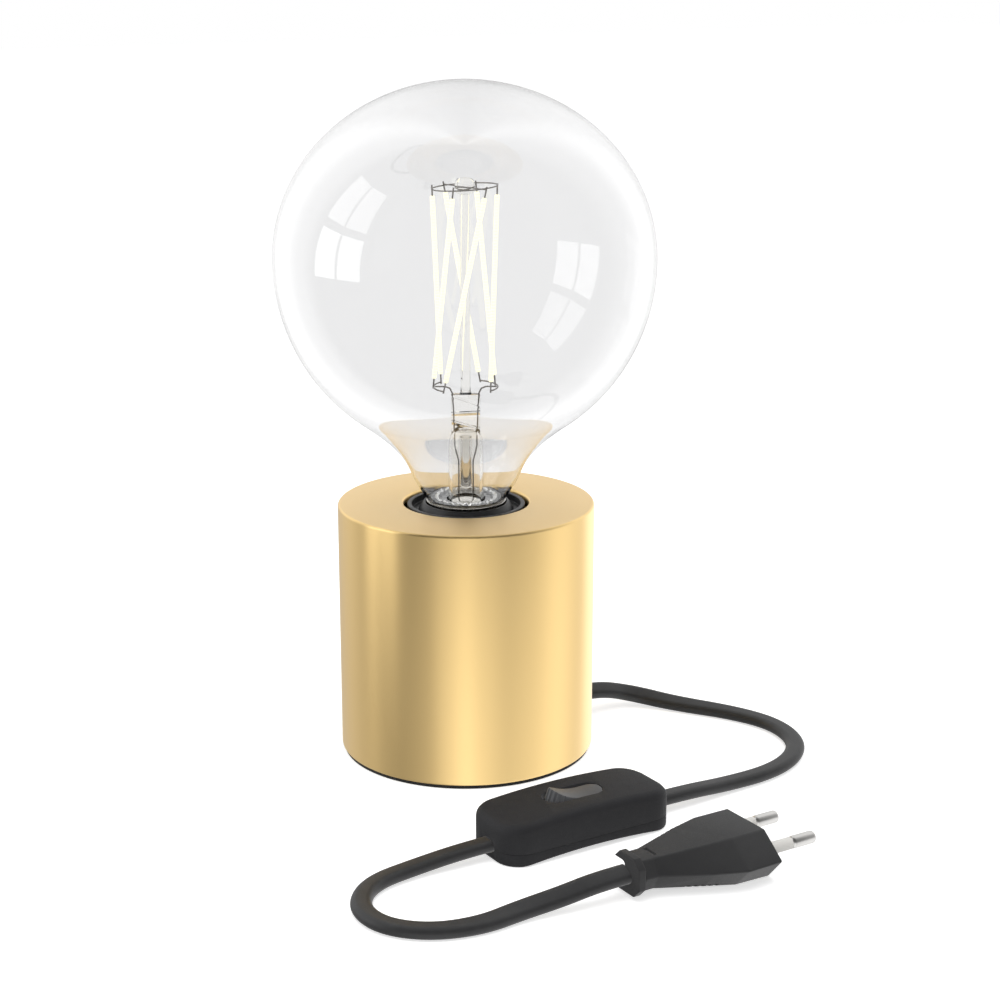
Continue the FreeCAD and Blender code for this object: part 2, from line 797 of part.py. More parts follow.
def switch_outside():
    """Outer form of the closed switch: crowned on top, slightly arched below."""
    half = switch_l / 2
    pad = half - switch_pad
    side = Part.Wire(
        [
            Part.LineSegment(V(-half, 0, 0), V(-pad, 0, 0)).toShape(),
            Part.Arc(V(-pad, 0, 0), V(0, 0, switch_arch), V(pad, 0, 0)).toShape(),
            Part.LineSegment(V(pad, 0, 0), V(half, 0, 0)).toShape(),
            Part.LineSegment(V(half, 0, 0), V(half, 0, switch_h - switch_crown)).toShape(),
            Part.Arc(
                V(half, 0, switch_h - switch_crown), V(0, 0, switch_h), V(-half, 0, switch_h - switch_crown)
            ).toShape(),
            Part.LineSegment(V(-half, 0, switch_h - switch_crown), V(-half, 0, 0)).toShape(),
        ]
    )
    slab = Part.Face(side).extrude(V(0, switch_w, 0))
    slab.translate(V(0, -switch_w / 2, 0))
    body = slab.common(rounded_plan(switch_l, switch_w, switch_corner_r, -1, switch_h + 1))
    rim = [
        edge
        for edge in body.Edges
        if edge.BoundBox.ZMin > switch_h - switch_crown - 0.5
    ]
    return body.makeFillet(switch_edge_r, rim)


def switch_to_place(shape):
    """Move a piece drawn about the switch's middle to where the switch lies."""
    return shifted(shape, switch_x, switch_y)


def post_places():
    """Middles of the two screw posts, on a diagonal of the switch."""
    x = switch_l / 2 - 11.2
    y = switch_w / 2 - switch_wall - 2.3
    return [(x, y), (-x, -y)]


def wire_runs():
    """Conductors inside the switch: two to the terminals and one straight through."""
    wire_start = clamp_x - 4
    live = []
    for side in (-1, 1):
        start = (side * wire_start, -1.2, cord_entry_z + 0.3)
        live.append([start, (side * (block_x - 1), -side * block_y, cord_entry_z + 2.2)])
    through = [
        (-wire_start, 1.2, cord_entry_z),
        (-19.2, 6.0, 5.4),
        (-12.5, 8.2, 5.4),
        (12.5, 8.2, 5.4),
        (18.2, 3.6, 5.2),
        (wire_start, 1.2, cord_entry_z),
    ]
    return live, through


def switch_shells():
    """Upper and lower shells with the slot, screw posts, hinge cheeks and terminal rests."""
    outside = switch_outside()
    cavity = rounded_plan(
        switch_l - 2 * switch_wall,
        switch_w - 2 * switch_wall,
        switch_corner_r - switch_wall,
        switch_arch + 1.6,
        switch_h - switch_crown - 2.1,
    )
    cavity_low, cavity_top = cavity.BoundBox.ZMin, cavity.BoundBox.ZMax
    cord_hole = bar((-BIG, 0, cord_entry_z), (-clamp_x + 4, 0, cord_entry_z), cord_r + slip)
    cord_hole = cord_hole.fuse(bar((clamp_x - 4, 0, cord_entry_z), (BIG, 0, cord_entry_z), cord_r + slip))
    above = block(-BIG, BIG, -BIG, BIG, parting_z + slip / 2, BIG)
    below = block(-BIG, BIG, -BIG, BIG, -BIG, parting_z - slip / 2)
    upper = outside.common(above).cut(cavity)
    lower = outside.common(below).cut(cavity)
    slot = rounded_plan(slot_l, slot_w, slot_w / 2, pivot_z, BIG)
    cheek_in = slot_w / 2 + slip
    for side in (-1, 1):
        near, far = sorted((side * cheek_in, side * (cheek_in + 1.6)))
        upper = upper.fuse(block(-3, 3, near, far, pivot_z - 2.4, cavity_top + 0.3))
    head_r, shank_r = 2.3, 1.25
    screws = []
    for x, y in post_places():
        upper = upper.fuse(disc(2.5, parting_z + slip / 2, cavity_top + 0.3, x, y))
        upper = upper.cut(disc(shank_r + slip / 2, 0, cavity_top - 1, x, y))
        lower = lower.fuse(disc(2.5, cavity_low - 0.5, parting_z - slip / 2, x, y))
        lower = lower.cut(disc(shank_r + slip, -1, BIG, x, y)).cut(disc(head_r + slip, -1, 2.4, x, y))
        head = disc(head_r, 1.2, 2.4, x, y)
        shank = disc(shank_r, 2.4, cavity_top - 1.6, x, y)
        screws.append(head.fuse(shank).cut(block(x - 1.6, x + 1.6, y - 0.25, y + 0.25, 0, 1.8)))
    upper = upper.cut(slot)
    pin_hole = bar((0, -cheek_in - 1.3, pivot_z), (0, cheek_in + 1.3, pivot_z), pin_r + 0.02)
    upper = upper.cut(pin_hole)
    post_top = cord_entry_z + cord_r
    for side in (-1, 1):
        rest_y = -side * block_y
        lower = lower.fuse(
            block(side * block_x - 2.5, side * block_x + 2.5, rest_y - 2, rest_y + 2, cavity_low - 0.5, 4.4)
        )
        for y in (-clamp_screw_y, clamp_screw_y):
            lower = lower.fuse(disc(1.9, cavity_low - 0.5, post_top, side * clamp_x, y))
            lower = lower.cut(disc(1.0 + slip, cavity_low, BIG, side * clamp_x, y))
    lower = lower.fuse(block(-block_x, 6.5, block_y - 1, block_y + 1, cavity_low - 0.5, 4.4))
    lower = lower.fuse(block(4.5, block_x, -block_y - 1, -block_y + 1, cavity_low - 0.5, 4.4))
    save("switch_upper_shell", switch_to_place(upper.cut(cord_hole).removeSplitter()))
    save("switch_lower_shell", switch_to_place(lower.cut(cord_hole).removeSplitter()))
    save("housing_screws", *[switch_to_place(screw) for screw in screws])


def rocker():
    """Rocker with its V-shaped top, pressed at the +X end; it turns on a pin across the slot."""
    half_angle = math.radians(rocker_angle)
    cos, sin = math.cos(half_angle), math.sin(half_angle)
    top_y = switch_h + 0.15 - pivot_z
    end_x = slot_l / 2 - rocker_end_gap
    width = slot_w - 2 * free
    high = (end_x * cos - top_y * sin, end_x * sin + top_y * cos)
    low_end = (end_x * cos + 1.5 * sin, end_x * sin - 1.5 * cos)
    middle = high[1] - high[0] * math.tan(half_angle)
    right = [(0, middle), high, low_end, (7.0, -rocker_depth)]
    left = [(-x, z) for x, z in right[:0:-1]]
    outline = [V(x, 0, pivot_z + z) for x, z in right + left + right[:1]]
    body = Part.Face(Part.makePolygon(outline)).extrude(V(0, width, 0))
    body.translate(V(0, -width / 2, 0))
    corners = [
        edge
        for edge in body.Edges
        if abs(edge.CenterOfMass.x) > 8.5
        and edge.BoundBox.YLength < 1e-6
        and edge.BoundBox.ZLength > 3
        and edge.BoundBox.XLength < 3
    ]
    body = body.makeFillet(rocker_round, corners)
    for rib in range(4):
        z = pivot_z + 1.6 + 1.5 * rib
        groove = block(-BIG, -end_x + 0.75 + 0.16 * (z - pivot_z), -width / 2 + 2.2, width / 2 - 2.2, z, z + 0.7)
        body = body.cut(groove)
    body = body.cut(bar((0, -width, pivot_z), (0, width, pivot_z), pin_r + slip))
    pressed = rocker_angle
    bridge = block(3.5, 6.5, -3.9, 3.9, pivot_z - rocker_depth - 0.5, pivot_z - rocker_depth)
    for name, piece in (("rocker", body), ("bridge_contact", bridge)):
        piece.rotate(V(0, 0, pivot_z), V(0, 1, 0), pressed)
        save(name, switch_to_place(piece))
    reach = slot_w / 2 + slip + 1.2
    save("rocker_pin", switch_to_place(bar((0, -reach, pivot_z), (0, reach, pivot_z), pin_r)))


def switch_insides():
    """Terminals with their screws, cord clamps, sheath ends and conductors."""
    live, through = wire_runs()
    half = block_size / 2
    blocks = []
    screws = []
    for side, run in zip((-1, 1), live):
        x, y = side * block_x, -side * block_y
        body = block(x - half, x + half, y - half, y + half, 4.4, 9.4)
        reach = (x, 6.4) if side < 0 else (3.6, x)
        body = body.fuse(block(reach[0], reach[1], y - 1.5, y + 1.5, 4.4, 5.0))
        body = body.cut(bar(run[0], run[1], core_r + slip))
        body = body.cut(disc(1.2 + slip, 7.8, BIG, x, y))
        blocks.append(switch_to_place(body.removeSplitter()))
        screw = disc(1.2, 7.85, 10.0, x, y).cut(block(x - 2, x + 2, y - 0.2, y + 0.2, 9.4, 11))
        screws.append(switch_to_place(screw))
    save("switch_terminals", *blocks)
    save("switch_terminal_screws", *screws)
    cores = [bar(run[0], run[1], core_r) for run in live]
    cores.append(tube(through, core_r))
    save("switch_conductors", *[switch_to_place(core) for core in cores])
    clamp_low = cord_entry_z + cord_r + slip
    clamps = []
    clamp_screws = []
    sheaths = []
    for side in (-1, 1):
        x = side * clamp_x
        clamp = block(x - 2, x + 2, -7.2, 7.2, clamp_low, clamp_low + 1.7)
        for y in (-clamp_screw_y, clamp_screw_y):
            clamp = clamp.cut(disc(1.0 + slip, 0, BIG, x, y))
            head = disc(1.8, clamp_low + 1.7, clamp_low + 2.7, x, y)
            head = head.cut(block(x - 2, x + 2, y - 0.2, y + 0.2, clamp_low + 2.2, 20))
            clamp_screws.append(switch_to_place(head.fuse(disc(1.0, 3.4, clamp_low + 1.7, x, y))))
        clamps.append(switch_to_place(clamp))
        ends = ((side * switch_l / 2, 0, cord_entry_z), (side * (clamp_x - 3), 0, cord_entry_z))
        sheaths.append(switch_to_place(bar(*ends, cord_r)))
    save("cord_clamps", *clamps)
    save("clamp_screws", *clamp_screws)
    save("switch_cord_ends", *sheaths)


# ---- Plug ---------------------------------------------------------------------------------------


def plug_section(back, half_w, top_w, half_h, low_w, low):
    """Six-cornered section of the plug, a distance behind its front face."""
    corners = [
        (half_w, plug_h),
        (top_w, plug_h + half_h),
        (-top_w, plug_h + half_h),
        (-half_w, plug_h),
        (-low_w, low),
        (low_w, low),
    ]
    points = [V(plug_x - back, plug_y + y, z) for y, z in corners]
    return Part.makePolygon(points + points[:1])


def plug():
    """Moulded plug body with its pins, their sleeves and the conductors inside."""
    front = plug_section(0, *plug_front, 0)
    waist = plug_section(waist_back, *plug_waist, 0)
    neck = plug_section(neck_back, *plug_neck, plug_h - plug_neck[2])
    tail = plug_section(collar_back, *plug_neck, plug_h - plug_neck[2])
    body = Part.makeLoft([front, waist, neck, tail], True, True)
    y, z, cut = collar_w / 2, collar_h / 2, collar_chamfer
    corners = [(y, z - cut), (y - cut, z), (cut - y, z), (-y, z - cut)]
    corners += [(-y, cut - z), (cut - y, -z), (y - cut, -z), (y, cut - z)]
    points = [V(plug_rear, plug_y + a, plug_h + b) for a, b in corners]
    collar = Part.Face(Part.makePolygon(points + points[:1])).extrude(V(plug_back - collar_back, 0, 0))
    body = body.fuse(collar)
    cord_in = plug_rear + 8
    cord_hole = bar((plug_rear - 1, plug_y, plug_h), (cord_in, plug_y, plug_h), cord_r + slip)
    body = body.cut(cord_hole)
    pins = []
    sleeves = []
    wires = []
    core = sleeve_r - 0.35
    root_x = plug_x - pin_root
    for side in (-1, 1):
        pin_y = plug_y + side * pin_pitch / 2
        tip_x = plug_x + plug_pin_l
        shank = bar((root_x, pin_y, plug_h), (plug_x + sleeve_l, pin_y, plug_h), core)
        tip = bar((plug_x + sleeve_l, pin_y, plug_h), (tip_x, pin_y, plug_h), plug_pin_r)
        pin = shank.fuse(tip)
        nose = [edge for edge in pin.Edges if edge.BoundBox.XMin > tip_x - 0.01]
        pins.append(pin.makeFillet(1.2, nose))
        sleeve = bar((plug_x - 3, pin_y, plug_h), (plug_x + sleeve_l - slip, pin_y, plug_h), sleeve_r)
        bore = bar((0, pin_y, plug_h), (BIG, pin_y, plug_h), core + slip)
        sleeves.append(sleeve.cut(bore))
        route = [
            (cord_in, plug_y + side * 1.2, plug_h),
            (cord_in + 5, plug_y + side * 1.4, plug_h),
            (root_x - 5, pin_y, plug_h),
            (root_x, pin_y, plug_h),
        ]
        wires.append(tube(route, core_r))
        body = body.cut(tube(route, core_r + slip))
        body = body.cut(bar((root_x, pin_y, plug_h), (BIG, pin_y, plug_h), core + slip))
        body = body.cut(bar((plug_x - 3, pin_y, plug_h), (BIG, pin_y, plug_h), sleeve_r + slip))
    save("plug_body", body.removeSplitter())
    save("plug_pins", *pins)
    save("pin_sleeves", *sleeves)
    save("plug_conductors", *wires)


os.makedirs("parts", exist_ok=True)
drum()
bottom()
ballast()
bracket()
nipple()
holder_cap()
holder_contacts(holder_sleeve())
bulb_glass()
bulb_wires()
bulb_cap()
cords()
switch_shells()
rocker()
switch_insides()
plug()
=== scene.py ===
import math
import bpy
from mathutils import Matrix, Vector


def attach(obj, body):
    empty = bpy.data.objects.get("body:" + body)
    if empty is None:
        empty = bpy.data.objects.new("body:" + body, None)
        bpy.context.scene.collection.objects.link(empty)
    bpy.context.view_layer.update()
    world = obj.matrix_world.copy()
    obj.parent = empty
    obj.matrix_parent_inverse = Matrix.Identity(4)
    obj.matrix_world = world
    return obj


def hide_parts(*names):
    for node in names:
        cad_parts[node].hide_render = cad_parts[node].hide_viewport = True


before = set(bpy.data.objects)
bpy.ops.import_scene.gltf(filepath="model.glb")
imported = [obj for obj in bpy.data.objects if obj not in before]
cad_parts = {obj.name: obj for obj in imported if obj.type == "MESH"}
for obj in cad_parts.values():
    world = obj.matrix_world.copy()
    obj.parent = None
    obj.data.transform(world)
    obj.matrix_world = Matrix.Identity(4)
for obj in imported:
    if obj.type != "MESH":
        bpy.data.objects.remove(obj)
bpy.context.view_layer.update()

# ---- Room ----
# A white table in a white room.  A window of four panes stands to the left of the camera and a wide
# lamp hangs above.  What brass and glass mirror of the room is set in soft tones by direction.
scene = bpy.context.scene
scene.view_settings.view_transform = "Standard"
camera_place = (-0.3432, -0.5712, 0.2685)
towards_lamp = Vector((0.51085, 0.81826, -0.26361))
bpy.ops.object.select_all(action="DESELECT")
bpy.ops.object.camera_add(location=camera_place, rotation=towards_lamp.to_track_quat("-Z", "Y").to_euler())
camera = bpy.context.object
camera.name = "camera"
camera.data.lens = 74.1
camera.data.sensor_width = 36
scene.camera = camera
camera_bearing = math.atan2(-towards_lamp.y, -towards_lamp.x)


def set_sockets(node, **values):
    """Set some of a shader node's sockets by name."""
    for name, value in values.items():
        node.inputs[name.replace("_", " ")].default_value = value


def add_node(tree, kind, settings=(), **values):
    """Shader node with some of its settings and sockets set by name."""
    node = tree.nodes.new(kind)
    for name, value in dict(settings).items():
        setattr(node, name, value)
    set_sockets(node, **values)
    return node


def mix_colours(tree, share, first, second):
    """Mix of two colours by a share; each colour is a socket or three numbers."""
    mix = add_node(tree, "ShaderNodeMix", {"data_type": "RGBA"})
    tree.links.new(share, mix.inputs["Factor"])
    for name, colour in (("A", first), ("B", second)):
        if isinstance(colour, tuple):
            mix.inputs[name].default_value = (*colour, 1)
        else:
            tree.links.new(colour, mix.inputs[name])
    return mix.outputs["Result"]


def seen_plainly(tree):
    """The ray's kinds, and 1 for what the camera sees, straight or through glass."""
    rays = tree.nodes.new("ShaderNodeLightPath")
    seen = add_node(tree, "ShaderNodeMath", {"operation": "MAXIMUM"})
    tree.links.new(rays.outputs["Is Camera Ray"], seen.inputs[0])
    tree.links.new(rays.outputs["Is Transmission Ray"], seen.inputs[1])
    return rays, seen.outputs[0]


def tones_by_bearing(tree, place, tones):
    """Grey that changes with the bearing round the lamp, in degrees from the camera's."""
    turned = add_node(tree, "ShaderNodeMapping", Rotation=(0, 0, -camera_bearing))
    parts = tree.nodes.new("ShaderNodeSeparateXYZ")
    bearing = add_node(tree, "ShaderNodeMath", {"operation": "ARCTAN2"})
    share = add_node(tree, "ShaderNodeMapRange", From_Min=-math.pi, From_Max=math.pi)
    greys = tree.nodes.new("ShaderNodeValToRGB")
    greys.color_ramp.interpolation = "EASE"
    stops = greys.color_ramp.elements
    while len(stops) < len(tones):
        stops.new(0.5)
    for stop, (degrees, tone) in zip(stops, tones):
        stop.position = 0.5 + degrees / 360
        stop.color = (tone, tone, tone, 1)
    tree.links.new(place, turned.inputs["Vector"])
    tree.links.new(turned.outputs[0], parts.inputs[0])
    tree.links.new(parts.outputs["Y"], bearing.inputs[0])
    tree.links.new(parts.outputs["X"], bearing.inputs[1])
    tree.links.new(bearing.outputs[0], share.inputs["Value"])
    tree.links.new(share.outputs[0], greys.inputs["Fac"])
    return greys.outputs["Color"]


def area_lamp(name, place, rotation, wide, high, watts):
    """Rectangular lamp, sizes in metres."""
    bpy.ops.object.light_add(type="AREA", location=place, rotation=rotation)
    lamp = bpy.context.object
    lamp.name = name
    lamp.data.shape = "RECTANGLE"
    lamp.data.size = wide
    lamp.data.size_y = high
    lamp.data.energy = watts
    return lamp


window_distance = 1.2
pane_wide = 2 * window_distance * math.tan(math.radians(8.0))
pane_watts = 1.1
for pane_bearing in (-69.0, -86.8):
    turn = camera_bearing + math.radians(pane_bearing)
    inward = Vector((-math.cos(turn), -math.sin(turn), 0))
    facing = inward.to_track_quat("-Z", "Y").to_euler()
    for low, high in ((0.03, 0.52), (0.62, 1.34)):
        middle = Vector((0, 0, (low + high) / 2)) - window_distance * inward
        area_lamp("window_pane", middle, facing, pane_wide, high - low, pane_watts)

ceiling_lamp = area_lamp("ceiling_lamp", (-0.1, -0.35, 1.5), (math.radians(-12), 0, 0), 1.4, 1.2, 12)
ceiling_lamp.visible_glossy = False
ceiling_lamp.visible_transmission = False

room = bpy.data.worlds.new("room")
scene.world = room
room.use_nodes = True
tree = room.node_tree
tree.nodes.clear()
walls = tree.nodes.new("ShaderNodeOutputWorld")
glow = add_node(tree, "ShaderNodeBackground", Strength=1.0)
tree.links.new(glow.outputs[0], walls.inputs["Surface"])
direction = tree.nodes.new("ShaderNodeTexCoord").outputs["Generated"]
wall_tones = (
    (-180, 0.95), (-122, 1.1), (-98, 0.5), (-60, 0.12), (0, 0.12), (55, 0.12), (95, 0.55), (122, 1.1),
    (180, 0.95),
)
table_tones = (
    (-180, 0.55), (-127, 0.62), (-95, 0.42), (-77, 0.2), (-51, 0.52), (-36, 0.66), (-18, 1.16), (0, 1.55),
    (16, 1.22), (40, 0.94), (60, 1.05), (92, 1.38), (125, 0.84), (142, 1.5), (165, 1.4), (180, 0.8),
)
glass_tones = (
    (-180, 0.7), (-158, 1.2), (-136, 2.4), (-112, 1.5), (-92, 0.3), (-50, 0.1), (0, 0.1), (42, 0.12),
    (64, 0.3), (86, 0.25), (112, 1.1), (136, 2.2), (158, 1.2), (180, 0.7),
)
on_walls, on_table, in_glass = (
    tones_by_bearing(tree, direction, tones) for tones in (wall_tones, table_tones, glass_tones)
)
heights = tree.nodes.new("ShaderNodeSeparateXYZ")
soft, haze = {"interpolation_type": "SMOOTHSTEP"}, 0.12
horizon = add_node(tree, "ShaderNodeMapRange", soft, From_Min=-haze, From_Max=haze)
tree.links.new(direction, heights.inputs[0])
tree.links.new(heights.outputs["Z"], horizon.inputs["Value"])
rays, seen = seen_plainly(tree)
ambient, white = (0.55, 0.55, 0.55), (1.0, 1.0, 1.0)
around = mix_colours(tree, horizon.outputs["Result"], on_table, on_walls)
mirrored = mix_colours(tree, rays.outputs["Is Singular Ray"], around, in_glass)
unseen = mix_colours(tree, rays.outputs["Is Glossy Ray"], ambient, mirrored)
tree.links.new(mix_colours(tree, seen, unseen, white), glow.inputs["Color"])

bpy.ops.mesh.primitive_plane_add(size=9, location=(0, 0, -0.00005))
table_top = bpy.context.object
table_top.name = "table_top"
white_table = bpy.data.materials.new("white table")
white_table.use_nodes = True
tree = white_table.node_tree
paper = tree.nodes["Principled BSDF"]
set_sockets(paper, Roughness=0.8, Specular_IOR_Level=0.1, Emission_Color=(1, 1, 1, 1))
fibre = add_node(tree, "ShaderNodeTexNoise", Scale=900.0)
fibre_place = tree.nodes.new("ShaderNodeTexCoord")
tree.links.new(fibre_place.outputs["Object"], fibre.inputs["Vector"])
fibre_tone = add_node(tree, "ShaderNodeMapRange", To_Min=0.84, To_Max=0.88)
tree.links.new(fibre.outputs["Fac"], fibre_tone.inputs["Value"])
tree.links.new(fibre_tone.outputs[0], paper.inputs["Base Color"])
rays, seen = seen_plainly(tree)
table_glow = 0.6
lift = add_node(tree, "ShaderNodeMath", {"operation": "MULTIPLY"})
lift.inputs[1].default_value = table_glow
tree.links.new(seen, lift.inputs[0])
tree.links.new(lift.outputs[0], paper.inputs["Emission Strength"])
in_gloss = tree.nodes.new("ShaderNodeBsdfTransparent")
by_ray = tree.nodes.new("ShaderNodeMixShader")
tree.links.new(rays.outputs["Is Glossy Ray"], by_ray.inputs[0])
tree.links.new(paper.outputs[0], by_ray.inputs[1])
tree.links.new(in_gloss.outputs[0], by_ray.inputs[2])
tree.links.new(by_ray.outputs[0], tree.nodes["Material Output"].inputs["Surface"])
table_top.data.materials.append(white_table)

# ---- Drum ----
# The body of the lamp: a can spun from brass sheet, its top turned in one with the wall and holed for
# the holder.  It is satin-finished on a lathe, so faint rings run round it, and lacquered.
mm = 0.001


def turn_rings(name, stops, sides=96):
    """Turned piece: a ring drawn out from stop to stop, each a radius and a height in millimetres."""
    pole = stops[0] if stops[0][0] == 0 else None
    radius, height = stops[1] if pole else stops[0]
    bpy.ops.object.select_all(action="DESELECT")
    bpy.ops.mesh.primitive_circle_add(vertices=sides, radius=radius * mm, location=(0, 0, height * mm))
    piece = bpy.context.object
    piece.name = name
    bpy.ops.object.mode_set(mode="EDIT")
    bpy.ops.mesh.select_all(action="SELECT")
    if pole:
        extrude_by(0, 0, pole[1] - height)
        bpy.ops.mesh.merge(type="CENTER")
        select_where(piece, lambda place: math.hypot(place.x, place.y) > radius * mm * 0.9)
    draw_on(radius, height, stops[2 if pole else 1:])
    close_up(piece)
    return piece


def extrude_by(x, y, z):
    """In edit mode, extrude what is selected by an offset in millimetres."""
    bpy.ops.mesh.extrude_region_move(TRANSFORM_OT_translate={"value": (x * mm, y * mm, z * mm)})


def draw_on(radius, height, stops):
    """In edit mode, draw the selected ring on from stop to stop; a radius of 0 closes it."""
    for next_radius, next_height in stops:
        extrude_by(0, 0, next_height - height)
        if next_radius == 0:
            bpy.ops.mesh.merge(type="CENTER")
            break
        grow = next_radius / radius
        bpy.ops.transform.resize(value=(grow, grow, 1), center_override=(0, 0, next_height * mm))
        radius, height = next_radius, next_height


def select_where(piece, test, kind="VERT"):
    """In edit mode, select only the corners, edges or faces whose places pass a test."""
    bpy.ops.mesh.select_mode(type=kind)
    bpy.ops.mesh.select_all(action="DESELECT")
    bpy.ops.object.mode_set(mode="OBJECT")
    corners = piece.data.vertices
    if kind == "VERT":
        for corner in corners:
            corner.select = bool(test(corner.co))
    elif kind == "EDGE":
        for edge in piece.data.edges:
            edge.select = bool(test(*(corners[i].co for i in edge.vertices)))
    else:
        for face in piece.data.polygons:
            face.select = bool(test(face.center))
    bpy.ops.object.mode_set(mode="EDIT")


def close_up(piece):
    """Merge doubled corners, turn the faces outwards and leave edit mode."""
    bpy.ops.mesh.select_all(action="SELECT")
    bpy.ops.mesh.remove_doubles(threshold=1e-6)
    bpy.ops.mesh.normals_make_consistent(inside=False)
    bpy.ops.object.mode_set(mode="OBJECT")
    bpy.ops.object.transform_apply(location=True, rotation=True, scale=True)


def apply_all(piece):
    """Apply every modifier of a piece in order."""
    bpy.ops.object.select_all(action="DESELECT")
    piece.select_set(True)
    bpy.context.view_layer.objects.active = piece
    for modifier in list(piece.modifiers):
        bpy.ops.object.modifier_apply(modifier=modifier.name)


def ease_edges(piece, width, steps=3, angle=30):
    """Round every edge sharper than an angle; the width is in millimetres."""
    bevel = piece.modifiers.new("eased edges", "BEVEL")
    bevel.width = width * mm
    bevel.segments = steps
    bevel.limit_method = "ANGLE"
    bevel.angle_limit = math.radians(angle)
    bevel.use_clamp_overlap = True
    apply_all(piece)


def cut_with(piece, cutter, operation="DIFFERENCE"):
    """Cut a piece with another one, or join both, and throw the other away."""
    boolean = piece.modifiers.new("cut", "BOOLEAN")
    boolean.operation = operation
    boolean.solver = "EXACT"
    boolean.object = cutter
    apply_all(piece)
    bpy.data.objects.remove(cutter)


def make_block(name, place, size):
    """Block with its middle at a place, in millimetres, left in edit mode."""
    bpy.ops.object.select_all(action="DESELECT")
    bpy.ops.mesh.primitive_cube_add(size=1, location=[x * mm for x in place], scale=[x * mm for x in size])
    piece = bpy.context.object
    piece.name = name
    bpy.ops.object.transform_apply(location=True, rotation=True, scale=True)
    bpy.ops.object.mode_set(mode="EDIT")
    return piece


def thicken(piece, wall):
    """Turn a skin into a wall, inwards, in millimetres."""
    skin = piece.modifiers.new("wall", "SOLIDIFY")
    skin.thickness = wall * mm
    skin.offset = -1
    apply_all(piece)


def make_bar(name, start, end, radius, sides=32):
    """Round bar between two points in millimetres."""
    a, b = Vector(start) * mm, Vector(end) * mm
    turn = (b - a).to_track_quat("Z", "Y").to_euler()
    bpy.ops.object.select_all(action="DESELECT")
    bpy.ops.mesh.primitive_cylinder_add(
        vertices=sides, radius=radius * mm, depth=(b - a).length, location=(a + b) / 2, rotation=turn
    )
    piece = bpy.context.object
    piece.name = name
    bpy.ops.object.transform_apply(location=True, rotation=True, scale=True)
    return piece


def settle(piece, material, body, slot, *nodes, smooth=40):
    """Give a finished piece its material and body, and let it stand for its CAD nodes."""
    bpy.ops.object.select_all(action="DESELECT")
    piece.select_set(True)
    bpy.context.view_layer.objects.active = piece
    bpy.ops.object.transform_apply(location=True, rotation=True, scale=True)
    bpy.ops.object.shade_smooth_by_angle(angle=math.radians(smooth))
    piece.data.materials.clear()
    piece.data.materials.append(material)
    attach(piece, body)
    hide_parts(*nodes)


def grain_group():
    """Group with patches of two colours, fine grain in the gloss and a height for the bump."""
    group = bpy.data.node_groups.new("surface grain", "ShaderNodeTree")
    for name, kind in (
        ("Colour", "Color"), ("Second Colour", "Color"), ("Patch Scale", "Float"), ("Grain Scale", "Float"),
        ("Stretch", "Vector"), ("Roughness Low", "Float"), ("Roughness High", "Float"),
    ):
        group.interface.new_socket(name, in_out="INPUT", socket_type="NodeSocket" + kind)
    for name, kind in (("Colour", "Color"), ("Roughness", "Float"), ("Height", "Float")):
        group.interface.new_socket(name, in_out="OUTPUT", socket_type="NodeSocket" + kind)
    given = group.nodes.new("NodeGroupInput")
    result = group.nodes.new("NodeGroupOutput")
    place = group.nodes.new("ShaderNodeTexCoord")
    stretched = add_node(group, "ShaderNodeVectorMath", {"operation": "MULTIPLY"})
    patches = add_node(group, "ShaderNodeTexNoise", Detail=3.0)
    grain = add_node(group, "ShaderNodeTexNoise", Detail=2.0)
    gloss = add_node(group, "ShaderNodeMapRange", From_Min=0.3, From_Max=0.7)
    link = group.links.new
    link(place.outputs["Object"], stretched.inputs[0])
    link(given.outputs["Stretch"], stretched.inputs[1])
    link(place.outputs["Object"], patches.inputs["Vector"])
    link(given.outputs["Patch Scale"], patches.inputs["Scale"])
    link(stretched.outputs[0], grain.inputs["Vector"])
    link(given.outputs["Grain Scale"], grain.inputs["Scale"])
    tint = mix_colours(group, patches.outputs["Fac"], given.outputs["Colour"], given.outputs["Second Colour"])
    link(grain.outputs["Fac"], gloss.inputs["Value"])
    link(given.outputs["Roughness Low"], gloss.inputs["To Min"])
    link(given.outputs["Roughness High"], gloss.inputs["To Max"])
    link(tint, result.inputs["Colour"])
    link(gloss.outputs["Result"], result.inputs["Roughness"])
    link(grain.outputs["Fac"], result.inputs["Height"])
    return group


surface_grain = grain_group()


def make_finish(
    name, colour, second, rough, patch, grain, depth=0.01, metallic=0.0, stretch=(1, 1, 1), **own
):
    """Finish with grain: two linear colours, a range of roughness, scales per metre, depth in mm."""
    finish = bpy.data.materials.new(name)
    finish.use_nodes = True
    tree = finish.node_tree
    shader = tree.nodes["Principled BSDF"]
    set_sockets(shader, Metallic=metallic, **own)
    effect = tree.nodes.new("ShaderNodeGroup")
    effect.node_tree = surface_grain
    set_sockets(
        effect, Colour=(*colour, 1), Second_Colour=(*second, 1), Patch_Scale=patch, Grain_Scale=grain,
        Stretch=stretch, Roughness_Low=rough[0], Roughness_High=rough[1],
    )
    bump = add_node(tree, "ShaderNodeBump", Strength=0.5, Distance=depth * mm)
    tree.links.new(effect.outputs["Colour"], shader.inputs["Base Color"])
    tree.links.new(effect.outputs["Roughness"], shader.inputs["Roughness"])
    tree.links.new(effect.outputs["Height"], bump.inputs["Height"])
    tree.links.new(bump.outputs["Normal"], shader.inputs["Normal"])
    return finish


